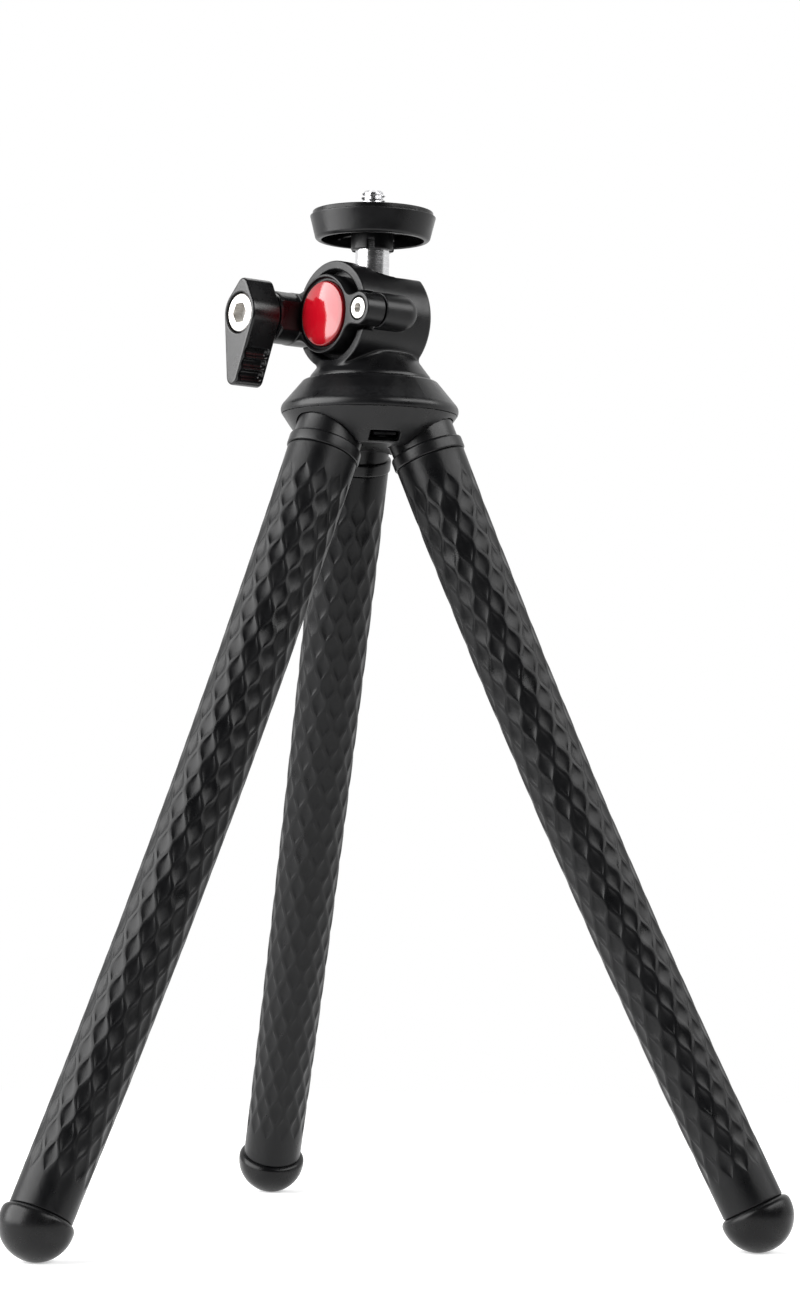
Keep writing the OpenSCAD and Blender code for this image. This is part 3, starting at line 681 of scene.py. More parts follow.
def moulded(name, base, worn, roughness, grain, depth, specular, wear=0.5):
    """Black plastic or rubber from a grained mould."""
    found = bpy.data.materials.get(name)
    if found:
        return found
    made, graph, shader = new_material(name)
    inputs = {"Color": rgba(base), "Worn Color": rgba(worn), "Roughness": roughness, "Edge Wear": wear}
    surface = use_group(graph, handled_surface, inputs)
    graph.link(surface["Color"], shader.inputs["Base Color"])
    graph.link(surface["Roughness"], shader.inputs["Roughness"])
    bump(graph, shader, use_group(graph, moulded_grain, {"Grain": grain})["Height"], depth)
    shader.inputs["Specular IOR Level"].default_value = specular
    return made


def satin_plastic(finish):
    """Housing, jaw, base, collars and platform."""
    return moulded(
        "Satin Plastic", finish.plastic, finish.plastic_worn,
        roughness=0.32, grain=5200.0, depth=0.00002, specular=0.3,
    )


def knob_plastic(finish):
    """The lever knob, a little smoother than the head."""
    return moulded(
        "Knob Plastic", finish.plastic, finish.plastic_worn,
        roughness=0.26, grain=5200.0, depth=0.000015, specular=0.45,
    )


def leg_rubber(finish):
    """Sleeves of the legs."""
    return moulded(
        "Leg Rubber", finish.rubber, finish.rubber_dust,
        roughness=0.34, grain=6500.0, depth=0.00002, specular=0.2, wear=0.3,
    )


def foot_rubber(finish):
    """Ball feet and the platform's pad."""
    return moulded(
        "Foot Rubber", finish.foot, finish.rubber_dust,
        roughness=0.27, grain=6500.0, depth=0.00002, specular=0.2, wear=0.3,
    )


def turned_metal(name, bright, dull, roughness, depth, pitch=5200.0):
    """Bare metal with fine turning marks."""
    found = bpy.data.materials.get(name)
    if found:
        return found
    made, graph, shader = new_material(name)
    marks = use_group(graph, turned_marks, {"Pitch": pitch})
    graph.link(graph.blend(marks["Mask"], rgba(bright), rgba(dull)), shader.inputs["Base Color"])
    rough = graph.remap(marks["Mask"], 0.0, 1.0, roughness, roughness * 1.8)
    graph.link(rough, shader.inputs["Roughness"])
    bump(graph, shader, marks["Height"], depth)
    shader.inputs["Metallic"].default_value = 1.0
    return made


def cap_gloss(finish):
    """The cap: red under a clear glossy layer, with painted shade that makes it darker towards its edge."""
    made, graph, shader = new_material("Cap Gloss")
    place = graph.add("TexCoord").outputs["Generated"]
    centred = graph.add("VectorMath", {0: place, 1: (-0.5, -0.5, -0.5)}, operation="ADD").outputs[0]
    flat = graph.add("VectorMath", {0: centred, 1: (1.0, 0.0, 1.0)}, operation="MULTIPLY").outputs[0]
    out = graph.add("VectorMath", {0: flat}, operation="LENGTH").outputs["Value"]
    # Painted shade: the outer ring of the cap's face is blended to the darker red
    edge = graph.remap(out, 0.36, 0.5, 0.0, 1.0)
    tint = graph.blend(edge, rgba(finish.cap), rgba(finish.cap_edge))
    graph.link(tint, shader.inputs["Base Color"])
    surface = use_group(graph, handled_surface, {"Roughness": 0.13, "Uneven": 0.03, "Patch Scale": 300.0})
    graph.link(surface["Roughness"], shader.inputs["Roughness"])
    grain = use_group(graph, moulded_grain, {"Grain": 900.0, "Ripple": 160.0, "Ripple Share": 0.9})
    bump(graph, shader, grain["Height"], 0.00002, 0.3)
    shader.inputs["Specular IOR Level"].default_value = 0.1
    shader.inputs["Coat Weight"].default_value = 1.0
    shader.inputs["Coat Roughness"].default_value = 0.1
    return made


# Placement on the legs

class Leg:
    """Where one leg runs, worked out from the places of its bends."""

    def __init__(self, name, sizes):
        kinds = ["curl" if k % 2 else "sway" for k in range(1, BENDS + 1)]
        bends = [Vector(JOINTS[f"{name}_{kind}_{k + 1}"]["pos_m"]) for k, kind in enumerate(kinds)]
        azimuth = math.atan2(bends[0].y, bends[0].x)
        self.out = Vector((math.cos(azimuth), math.sin(azimuth), 0))
        self.side = Vector((-math.sin(azimuth), math.cos(azimuth), 0))
        flat = [Vector((p.dot(self.out), p.z)) for p in bends]
        leans = [math.atan2((b - a).x, (a - b).y) for a, b in zip(flat, flat[1:])]
        bow = (leans[-1] - leans[0]) / (len(leans) - 1)
        self.leans = [leans[0] - bow, *leans, leans[-1] + bow]
        pitch = (bends[1] - bends[0]).length
        self.starts = [0.0] + [sizes.first_bend + pitch * k for k in range(BENDS + 1)]
        root = bends[0] - self.direction(0) * sizes.first_bend
        foot = bends[-1] + self.direction(BENDS) * pitch
        self.points = [root, *bends, foot]

    def direction(self, k):
        """Direction down the length k of the leg."""
        return self.out * math.sin(self.leans[k]) - Vector((0, 0, 1)) * math.cos(self.leans[k])

    def at(self, s):
        """Place on the leg's axis, s metres from its collar."""
        k = max(i for i in range(BENDS + 1) if self.starts[i] <= max(s, 0))
        return self.points[k] + self.direction(k) * (s - self.starts[k])

    def lean_at(self, s):
        """Lean of the axis at s, turning evenly from the middle of one length to the next."""
        middles = [(a + b) / 2 for a, b in zip(self.starts, self.starts[1:])]
        return float(np.interp(s, middles, self.leans))

    def frame(self, s):
        """Frame on the axis at s, with z down the leg."""
        lean = self.lean_at(s)
        down = self.out * math.sin(lean) - Vector((0, 0, 1)) * math.cos(lean)
        across = self.side.cross(down)
        return Matrix.Translation(self.at(s)) @ Matrix((across, self.side, down)).transposed().to_4x4()


# Pieces

class TRIPOD_OT_sleeves(bpy.types.Operator):
    """Make the rubber sleeves with their dents between wavy lands, one length for each bend"""

    bl_idname = "tripod.sleeves"
    bl_label = "Sleeves"
    cell_steps = 20
    end_steps = 4
    bore_stride = 8
    dent_slope = (0.4, 0.75, 1.0)

    def execute(self, context):
        settings = context.scene.tripod
        material = leg_rubber(settings.finish)
        for name in LEGS:
            self.make_leg(name, settings.legs, material)
        return {"FINISHED"}

    def relief(self, sizes, s):
        """Turns and depths of one ring of points, with points along both edges of every wavy land."""
        row = (s - sizes.cell_start) / sizes.cell_length - 0.5
        land = sizes.land / 2 * sizes.cells / (math.pi * sizes.root)
        least = land / 8
        halves, depths = [], []
        for offset, rows in ((0.0, sizes.rows), (0.5, sizes.rows - 1)):
            nearest = round(row - offset)
            width = (1 + math.cos(2 * math.pi * (row - offset - nearest))) / 4 - land
            halves.append(max(width, least))
            share = max(width, 0) / (0.5 - land)
            level = (3 - share) * share / 2
            depths.append(level * sizes.cell_depth if 0 <= nearest < rows else 0.0)
        slope = self.dent_slope
        near = [halves[0] * t for t in slope]
        far = [0.5 - halves[1] * t for t in slope[::-1]]
        half = near + far
        turns = [0.0, *half, 0.5, *(1 - t for t in half[::-1])]
        across = (0.0, *slope, *slope[::-1], 0.0, *slope, *slope[::-1])
        count = len(slope)
        which = (0,) * (count + 1) + (1,) * (2 * count + 1) + (0,) * count
        dents = [depths[w] * (1 - t * t) for w, t in zip(which, across)]
        around = np.concatenate([(np.array(turns) + i) / sizes.cells for i in range(sizes.cells)])
        return around * 2 * math.pi, np.tile(dents, sizes.cells)

    def ring(self, leg, sizes, s, end):
        """Points of one ring of the sleeve's outside."""
        total = leg.starts[-1]
        turns, dents = self.relief(sizes, s)
        radius = (sizes.root + (sizes.tip - sizes.root) * s / total) / 2 - dents
        near = min(s, end - s)
        if near < sizes.end_round:
            inward = sizes.end_round - near
            radius = radius - sizes.end_round + math.sqrt(sizes.end_round ** 2 - inward ** 2)
        local = np.stack([radius * np.cos(turns), radius * np.sin(turns), np.zeros_like(turns)], 1)
        place = np.array(leg.frame(s))
        return local @ place[:3, :3].T + place[:3, 3]

    def make_leg(self, name, sizes, material):
        """All lengths of one leg's sleeve."""
        leg = Leg(name, sizes)
        end = leg.starts[-1] - sizes.foot_seam
        middles = [(a + b) / 2 for a, b in zip(leg.starts[1:-1], leg.starts[2:])][:-1]
        limits = [0.0, *middles, end]
        step = sizes.cell_length / self.cell_steps
        curved = np.linspace(0, sizes.end_round, self.end_steps)
        for k in range(BENDS):
            low, high = limits[k], limits[k + 1]
            stations = np.linspace(low, high, round((high - low) / step) + 1)
            if k == 0:
                stations = np.concatenate([curved, stations[1:]])
            if k == BENDS - 1:
                stations = np.concatenate([stations[:-1], end - curved[::-1]])
            self.make_length(name, k, leg, sizes, stations, end, material)

    def make_length(self, name, k, leg, sizes, stations, end, material):
        """One length of sleeve, closed by its bore, that curves about bend k + 1."""
        outside = [self.ring(leg, sizes, s, end) for s in stations]
        ahead = [self.ring(leg, sizes, min(s + SLOPE_STEP, end), end) for s in stations]
        behind = [self.ring(leg, sizes, max(s - SLOPE_STEP, 0), end) for s in stations]
        normals = []
        for here, after, before in zip(outside, ahead, behind):
            around = np.roll(here, -1, 0) - np.roll(here, 1, 0)
            normal = np.cross(around, after - before)
            normals.append(normal / np.linalg.norm(normal, axis=1, keepdims=True))
        columns = len(outside[0])
        turns = np.arange(columns) * 2 * math.pi / columns
        hole = np.stack([np.cos(turns), np.sin(turns), np.zeros(columns)], 1) * sizes.bore / 2
        bore = []
        inner = list(stations[::-self.bore_stride])
        if inner[-1] != stations[0]:
            inner.append(stations[0])
        for s in inner:
            place = np.array(leg.frame(s))
            bore.append(hole @ place[:3, :3].T + place[:3, 3])
        rings = outside + bore
        points = np.concatenate(rings)
        flat = np.zeros((columns * len(bore), 3))
        number = np.arange(len(points)).reshape(len(rings), columns)
        above, beside = np.roll(number, -1, 0), np.roll(number, -1, 1)
        quads = np.stack([number, beside, np.roll(above, -1, 1), above], 2).reshape(-1, 4)
        made = add_mesh(f"{name}_sleeve_bend_{k + 1}", points, quads, None, np.concatenate([*normals, flat]))
        nodes = [f"{name}_sleeve_{k + 1}"] + ([f"{name}_sleeve_0"] if k == 0 else [])
        made.data.materials.append(material)
        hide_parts(*nodes)
        pivot, reach = leg.starts[k + 1], sizes.bend_reach
        leg.at(pivot - reach)
        leg.at(pivot + reach)
        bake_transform(made)


class TRIPOD_OT_feet(bpy.types.Operator):
    """Make the ball feet"""

    bl_idname = "tripod.feet"
    bl_label = "Feet"

    def execute(self, context):
        settings = context.scene.tripod
        sizes = settings.legs
        radius, seam, bore = sizes.foot / 2, sizes.foot_seam, sizes.core / 2
        rounding = sizes.foot_round
        level = rounding - seam
        across = math.sqrt((radius - rounding) ** 2 - level ** 2)
        turn, quarter = math.atan2(level, across), math.pi / 2
        bend_steps, arc_steps = 16, 40
        bend = [
            (across + rounding * math.cos(t), level + rounding * math.sin(t))
            for t in np.linspace(-quarter, turn, bend_steps)
        ]
        arc = [(radius * math.cos(t), radius * math.sin(t)) for t in np.linspace(turn, quarter, arc_steps)]
        outline = np.array([(0, 0), (bore, 0), (bore, -seam), *bend, *arc[1:-1], (0, radius)])
        for name in LEGS:
            leg = Leg(name, sizes)
            foot = lathe(f"{name}_ball_foot", outline, leg.frame(leg.starts[-1]), sides=96, sharp=50)
            material = foot_rubber(settings.finish)
            set_piece(foot, f"{name}_leg_{BENDS}", "foot_rubber", material, f"{name}_foot")
        return {"FINISHED"}


class TRIPOD_OT_ferrules(bpy.types.Operator):
    """Make the collars and necks that carry the legs"""

    bl_idname = "tripod.ferrules"
    bl_label = "Ferrules"

    def execute(self, context):
        settings = context.scene.tripod
        sizes = settings.legs
        collar, shoulder = sizes.collar / 2, sizes.shoulder / 2
        neck, core = sizes.neck / 2, sizes.core / 2
        outline = rounded([
            (0, -sizes.core_grip, 0), (core, -sizes.core_grip, 0), (core, 0, 0),
            (collar, 0, sizes.collar_edge),
            (collar, -sizes.collar_height, sizes.collar_round),
            (shoulder, -sizes.collar_height, sizes.shoulder_crease),
            (shoulder, -sizes.shoulder_length, 0), (neck, -sizes.shoulder_length, 0),
            (neck, -sizes.neck_length, 0), (0, -sizes.neck_length, 0),
        ])
        for name in LEGS:
            ferrule = lathe(f"{name}_collar", outline[::-1], Leg(name, sizes).frame(0.0))
            set_piece(ferrule, "base", "satin_plastic", satin_plastic(settings.finish), f"{name}_ferrule")
        return {"FINISHED"}


class TRIPOD_OT_base(bpy.types.Operator):
    """Make the lower shell of the base and finish the dome"""

    bl_idname = "tripod.base"
    bl_label = "Base"

    def execute(self, context):
        settings = context.scene.tripod
        sizes, legs = settings.base, settings.legs
        rim_z = DOME_TOP.z - sizes.rim_drop
        frames = [np.array(Leg(name, legs).frame(0.0).inverted()) for name in LEGS]
        seam_r = sizes.rim / 2 - sizes.rim_round + math.sqrt(sizes.rim_round ** 2 - sizes.seam_drop ** 2)
        between = [math.atan2(*Leg(name, legs).out.yx) + math.pi / len(LEGS) for name in LEGS]

        def shell(r, h, inset):
            upper = cone_side(r, h, sizes.crease / 2, -sizes.crease_drop, seam_r, -sizes.seam_drop)
            lower = cone_side(r, h, sizes.hub / 2, -sizes.hub_drop, sizes.crease / 2, -sizes.crease_drop)
            side = meet(upper, lower, sizes.crease_round)
            return meet(side, -sizes.hub_drop - h, sizes.edge) + inset

        def distance(x, y, z):
            r, h = np.hypot(x, y), z - rim_z
            outside = meet(shell(r, h, 0), h + sizes.seam_drop, sizes.edge / 2)
            solid = cut(outside, shell(r, h, sizes.wall), sizes.edge)
            under_dome = meet(h + sizes.seam_drop, r - sizes.crease / 2 + sizes.wall)
            cover = np.minimum(outside, np.maximum(under_dome - sizes.socket_rise, r - sizes.hub / 2))
            local = [
                tuple(m[i, 0] * x + m[i, 1] * y + m[i, 2] * z + m[i, 3] for i in range(3)) for m in frames
            ]
            top = legs.neck_length + sizes.socket_roof
            for place in local:
                socket = rod(*place, legs.neck / 2 + sizes.socket_wall, -top, 0)
                solid = join(solid, meet(socket, cover), sizes.edge)
            for place in local:
                steps = (
                    (legs.neck, legs.neck_length), (legs.shoulder, legs.shoulder_length),
                    (legs.collar, legs.collar_height),
                )
                for width, length in steps:
                    hole = rod(*place, width / 2 + sizes.room, -length - sizes.room, FAR)
                    solid = cut(solid, hole, sizes.edge / 2)
            for turn in between:
                out = math.cos(turn) * x + math.sin(turn) * y
                side = np.abs(math.cos(turn) * y - math.sin(turn) * x) - sizes.window_width / 2
                level = np.abs(h + sizes.crease_drop + sizes.window_drop + sizes.window_height / 2)
                hole = meet(side, level - sizes.window_height / 2, sizes.edge)
                solid = cut(solid, meet(hole, sizes.window_depth - out), sizes.edge / 2)
            return solid

        reach = sizes.rim / 2
        low, high = (-reach, -reach, rim_z - sizes.hub_drop), (reach, reach, rim_z + sizes.socket_rise)
        lower = skin("base_shell", distance, low, high, sizes.mesh, Matrix.Identity(4))
        set_piece(lower, "base", "satin_plastic", satin_plastic(settings.finish), "base_lower")
        dress(satin_plastic(settings.finish), "base_dome")
        return {"FINISHED"}


class TRIPOD_OT_housing(bpy.types.Operator):
    """Make the housing of the clamp head"""

    bl_idname = "tripod.housing"
    bl_label = "Housing"

    def execute(self, context):
        settings = context.scene.tripod
        sizes, stem = settings.head, settings.plate.stem / 2
        ground = DOME_TOP.z - BALL.z
        tangent, cosine = math.tan(sizes.mouth_lean), math.cos(sizes.mouth_lean)
        mouth_start = stem / cosine + sizes.room
        slot = stem + sizes.room
        edge, crease = sizes.edge, sizes.crease

        def distance(x, y, z):
            out = np.hypot(x, z)
            tube = meet(np.hypot(x, y) - sizes.tube / 2, -sizes.tube_back - z, sizes.tube_round)
            tube = meet(tube, z - sizes.tube_front, edge)
            flare = cone_side(
                out, y, sizes.saddle_foot / 2, ground + sizes.saddle_lip, sizes.saddle_top / 2,
                ground + sizes.saddle_rise,
            )
            flare = meet(flare, out - sizes.saddle_foot / 2, edge)
            saddle = meet(meet(flare, y - ground - sizes.saddle_rise, sizes.saddle_fillet / 2), ground - y)
            solid = join(tube, saddle, sizes.saddle_fillet)
            right = np.hypot(
                np.hypot(x - sizes.ear_offset, y), np.maximum(sizes.right_boss_end - z, 0)
            ) - sizes.right_boss / 2
            left = rod(
                x + sizes.ear_offset, y, z, sizes.left_boss / 2, -sizes.left_boss_back, FAR, 2 * edge
            )
            for boss in (right, left):
                solid = join(solid, meet(boss, z - sizes.boss_front, edge / 2), crease)
            solid = cut(solid, meet(sizes.flat_rise - y, z), edge)
            solid = cut(solid, rod(x, y, z, sizes.cup_bore / 2, sizes.back_wall - sizes.tube_back, FAR))
            solid = cut(solid, rod(x, y, z, sizes.tube / 2 - sizes.ring_wall, sizes.boss_front, FAR), edge)
            for side, ear in ((1, sizes.right_ear), (-1, sizes.left_boss)):
                notch = meet(np.abs(y) - ear / 2 - 2 * sizes.room, -side * x)
                solid = cut(solid, meet(notch, sizes.boss_front - z), edge)
            mouth = meet((out - mouth_start - y * tangent) * cosine, -y)
            trough = meet(np.where(y > 0, np.abs(x), np.hypot(x, y)) - slot, z)
            return cut(solid, join(mouth, trough, crease), edge)

        side = sizes.ear_offset + sizes.left_boss / 2
        foot = sizes.saddle_foot / 2
        low, high = (-side, ground, -foot), (side, sizes.tube / 2, foot)
        housing = skin("clamp_housing", distance, low, high, sizes.housing_mesh, HEAD)
        set_piece(housing, "head", "satin_plastic", satin_plastic(settings.finish), "head_housing")
        return {"FINISHED"}


class TRIPOD_OT_jaw(bpy.types.Operator):
    """Make the front jaw and its cap"""

    bl_idname = "tripod.jaw"
    bl_label = "Jaw"

    def execute(self, context):
        settings = context.scene.tripod
        sizes = settings.head
        edge = sizes.edge

        def distance(x, y, z):
            face = np.hypot(x, y) - sizes.jaw / 2
            face = join(face, np.hypot(x - sizes.ear_offset, y) - sizes.right_ear / 2, sizes.ear_fillet)
            face = join(face, np.hypot(x + sizes.ear_offset, y) - sizes.left_boss / 2, sizes.ear_fillet)
            solid = meet(meet(face, sizes.jaw_back - z, edge / 2), z - sizes.jaw_front, edge)
            plug = sizes.cup_bore / 2 - sizes.room
            solid = join(solid, rod(x, y, z, plug, sizes.plug_back, sizes.jaw_front - sizes.cap_depth, edge))
            left = rod(
                x + sizes.ear_offset, y, z, sizes.left_boss / 2, sizes.jaw_back, sizes.left_ear_front,
                edge / 2, 2 * edge,
            )
            solid = join(solid, left, sizes.crease)
            step = rod(x, y, z, sizes.jaw / 2 - sizes.jaw_rim, sizes.jaw_front - sizes.rim_step, FAR, edge)
            solid = cut(solid, step, edge / 2)
            pocket = rod(x, y, z, sizes.cap / 2 + CLOSE_FIT, sizes.jaw_front - sizes.cap_depth, FAR)
            solid = cut(solid, pocket, edge / 2)
            right_x = x - sizes.ear_offset
            solid = cut(solid, rod(right_x, y, z, sizes.small_head / 2, sizes.small_seat, FAR), edge / 2)
            solid = cut(solid, rod(right_x, y, z, sizes.small_screw / 2, 0, FAR))
            bolt = settings.knob.bolt / 2
            return cut(solid, rod(x + sizes.ear_offset, y, z, bolt, 0, FAR))

        low = (-sizes.ear_offset - sizes.left_boss / 2, -sizes.jaw / 2, sizes.plug_back)
        high = (sizes.ear_offset + sizes.right_ear / 2, sizes.jaw / 2, sizes.left_ear_front)
        jaw = skin("front_jaw", distance, low, high, sizes.jaw_mesh, HEAD)
        set_piece(jaw, "jaw", "satin_plastic", satin_plastic(settings.finish), "clamp_jaw")
        self.make_cap(settings)
        return {"FINISHED"}

    def make_cap(self, settings):
        """The domed cap in the jaw's face."""
        sizes = settings.head
        radius, crown = sizes.cap / 2, sizes.cap_crown
        dome = (radius ** 2 + crown ** 2) / (2 * crown)
        rounding = sizes.cap_round
        reach = math.asin((radius - rounding) / (dome - rounding))
        centre_h = crown - dome
        arc = [(dome * math.sin(t), centre_h + dome * math.cos(t)) for t in np.linspace(0, reach, ARC_STEPS)]
        hub = np.array((radius - rounding, centre_h + (dome - rounding) * math.cos(reach)))
        turns = np.linspace(math.pi / 2 - reach, 0, 9)[1:]
        bend = [hub + rounding * np.array((math.cos(t), math.sin(t))) for t in turns]
        outline = np.array([*arc, *bend, (radius, -sizes.cap_depth), (0, -sizes.cap_depth)])
        place = HEAD @ Matrix.Translation((0, 0, sizes.jaw_front))
        cap = lathe("round_cap", outline[::-1], place, sharp=60)
        set_piece(cap, "jaw", "cap_red", cap_gloss(settings.finish), "jaw_cap")


class TRIPOD_OT_knob(bpy.types.Operator):
    """Make the lever knob"""

    bl_idname = "tripod.knob"
    bl_label = "Knob"

    def execute(self, context):
        settings = context.scene.tripod
        sizes = settings.knob
        hub, tip, top = sizes.hub / 2, sizes.tip / 2, sizes.top_end / 2
        flank = math.asin((hub - tip) / (sizes.lever - tip))
        middle = sizes.thickness / 2
        groove_r = sizes.groove / 2

        def distance(x, y, z):
            face = np.minimum(
                taper(x, y, hub, tip, sizes.lever - tip), taper(x, -y, hub, top, sizes.top - top)
            )
            solid = meet(face, np.abs(z - middle) - middle, sizes.edge)
            for side in (-1, 1):
                sine, cosine = math.sin(-side * flank), math.cos(flank)
                along, across = cosine * y - sine * x, cosine * x + sine * y
                for i in range(sizes.grooves):
                    u = across + side * hub
                    v = along - sizes.groove_start - i * sizes.groove_step
                    w = np.maximum(np.abs(z - middle) - middle + sizes.groove_end, 0)
                    solid = cut(solid, np.sqrt(u * u + v * v + w * w) - groove_r, sizes.groove_lip)
            solid = cut(solid, rod(x, y, z, sizes.bolt_head / 2, sizes.bolt_seat, FAR), sizes.edge / 2)
            return cut(solid, rod(x, y, z, sizes.bolt / 2, -FAR, FAR))

        low, high = (-hub, -sizes.top, 0), (hub, sizes.lever, sizes.thickness)
        offset = KNOB_AXIS - BALL
        place = HEAD @ Matrix.Translation((offset.x, offset.z, sizes.back))
        place = place @ Matrix.Rotation(math.pi - sizes.lean, 4, "Z")
        knob = skin("lever_knob", distance, low, high, sizes.mesh, place)
        set_piece(knob, "knob", "satin_plastic", knob_plastic(settings.finish), "lock_knob")
        dress(knob_plastic(settings.finish), "knob_washer")
        return {"FINISHED"}


class TRIPOD_OT_platform(bpy.types.Operator):
    """Make the camera platform and its pad"""

    bl_idname = "tripod.platform"
    bl_label = "Platform"

    def execute(self, context):
        settings = context.scene.tripod
        sizes = settings.plate
        plate_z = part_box("platform_pad")[0].z
        height, hollow = sizes.height, sizes.height - sizes.roof
        top_r, low_r, hub = sizes.top / 2, sizes.low / 2, sizes.hub / 2
        hub_end = height - sizes.hub_drop
        edge = sizes.top_round

        def distance(x, y, z):
            r = np.hypot(x, y)
            side = cone_side(r, z, low_r, 0, top_r, height)
            outside = meet(meet(side, -z, sizes.low_round), z - height, edge)
            room = meet(side + sizes.wall, z - hollow, edge)
            solid = cut(outside, room, edge)
            solid = join(solid, rod(x, y, z, hub, hub_end, height - edge, edge), edge)
            for turn in (0, math.pi / 3, 2 * math.pi / 3):
                width = np.abs(math.cos(turn) * y - math.sin(turn) * x) - sizes.rib / 2
                rib = meet(meet(width, hollow - sizes.rib_height - z, edge), outside + sizes.wall / 2)
                solid = join(solid, rib, edge)
            solid = cut(solid, rod(x, y, z, sizes.stem / 2 + CLOSE_FIT, -FAR, hollow), edge / 2)
            solid = cut(solid, rod(x, y, z, sizes.screw / 2 + CLOSE_FIT, -FAR, FAR))
            for turn in (math.pi / 4, 3 * math.pi / 4):
                width = np.abs(math.cos(turn) * y - math.sin(turn) * x) - sizes.hub_slot / 2
                solid = cut(solid, meet(meet(width, z), r - hub - edge), edge / 2)
            return solid

        low, high = (-top_r, -top_r, hub_end), (top_r, top_r, height)
        place = Matrix.Translation((0, 0, plate_z - height))
        plate = skin("platform_plate", distance, low, high, sizes.mesh, place)
        set_piece(plate, "platform", "satin_plastic", satin_plastic(settings.finish), "camera_platform")
        self.make_pad(settings, plate_z)
        return {"FINISHED"}

    def make_pad(self, settings, plate_z):
        """The rubber disc on the platform."""
        sizes = settings.plate
        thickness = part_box("platform_pad")[1].z - plate_z
        inner, outer, rounding = sizes.pad_hole / 2, sizes.pad / 2, sizes.pad_round
        corners = [(inner, 0, 0), (outer, 0, 0), (outer, thickness, rounding), (inner, thickness, rounding)]
        pad = lathe("grip_pad", rounded(corners), Matrix.Translation((0, 0, plate_z)), sides=160)
        set_piece(pad, "platform", "foot_rubber", foot_rubber(settings.finish), "platform_pad")


class TRIPOD_OT_stem(bpy.types.Operator):
    """Make the polished stem with its camera screw, and finish the ball"""

    bl_idname = "tripod.stem"
    bl_label = "Stem"

    def execute(self, context):
        settings = context.scene.tripod
        sizes = settings.plate
        low = BALL.z + sizes.stem_seat
        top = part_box("stem")[1].z
        plate_z, pad_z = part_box("platform_pad")[0].z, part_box("platform_pad")[1].z
        shoulder = plate_z - sizes.roof
        stem, neck = sizes.stem / 2, sizes.screw_neck / 2
        chamfer, room = sizes.stem_chamfer, sizes.stem_room
        ball_top = BALL.z + math.sqrt((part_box("ball")[1].x - BALL.x) ** 2 - stem ** 2)
        profile = [
            (low + room, stem - chamfer), (low + room + chamfer, stem - room),
            (ball_top, stem - room), (ball_top + chamfer, stem), (shoulder - chamfer, stem),
            (shoulder, stem - chamfer), (shoulder, neck), (pad_z, neck),
        ]
        columns, steps, crest = 96, 90, 0.1
        turns = np.arange(columns) * 2 * math.pi / columns
        rings = [(h, np.full(columns, r)) for h, r in profile]
        for h in np.linspace(pad_z, top, steps):
            wave = (h / sizes.screw_pitch - turns / (2 * math.pi)) % 1
            rise = np.clip((np.abs(2 * wave - 1) - crest) / (1 - 2 * crest), 0, 1)
            radius = (sizes.screw_core + (sizes.screw - sizes.screw_core) * rise) / 2
            radius = np.minimum(radius, sizes.screw_core / 2 - chamfer + (top - h))
            rings.append((h, radius))
        points = [(0, 0, low + room)]
        for h, radius in rings:
            points.extend(zip(radius * np.cos(turns), radius * np.sin(turns), np.full(columns, h)))
        points.append((0, 0, top))
        faces = []
        for i in range(columns):
            j = (i + 1) % columns
            faces.append((0, 1 + j, 1 + i))
            for k in range(len(rings) - 1):
                a, b = 1 + k * columns, 1 + (k + 1) * columns
                faces.append((a + i, a + j, b + j, b + i))
            last = 1 + (len(rings) - 1) * columns
            faces.append((last + i, last + j, len(points) - 1))
        made = add_mesh("polished_stem", points, faces)
        finish = settings.finish
        steel = turned_metal(
            "Polished Steel", finish.steel, finish.steel_dark, roughness=0.2, depth=0.000002
        )
        set_piece(made, "platform", "polished_steel", steel, "stem")
        black = turned_metal(
            "Anodised Ball", finish.anodised, finish.anodised, roughness=0.3, depth=0.000002
        )
        dress(black, "ball")
        return {"FINISHED"}


class TRIPOD_OT_fasteners(bpy.types.Operator):
    """Finish the screws, the insert and the pieces inside"""

    bl_idname = "tripod.fasteners"
    bl_label = "Fasteners and inner parts"

    def execute(self, context):
        finish = context.scene.tripod.finish
        plated = turned_metal(
            "Plated Screw", finish.screw, finish.screw_dark, roughness=0.42, depth=0.000004, pitch=2600.0
        )
        dress(plated, "jaw_screw", "knob_bolt", "head_stud", "stud_nut", "leg_screws")
        brass = turned_metal(
            "Insert Brass", finish.brass, finish.screw_dark, roughness=0.3, depth=0.000004
        )
        dress(brass, "bolt_insert")
        nylon = moulded(
            "Cup Nylon", finish.nylon, finish.nylon, roughness=0.5, grain=4500.0, depth=0.00002, specular=0.5
        )
        dress(nylon, "ball_seat", "jaw_pad")
        wire = turned_metal("Core Wire", finish.wire, finish.steel_dark, roughness=0.4, depth=0.000004)
        dress(wire, "core_roots", *(f"{name}_core_{k}" for name in LEGS for k in range(1, BENDS + 1)))
        return {"FINISHED"}


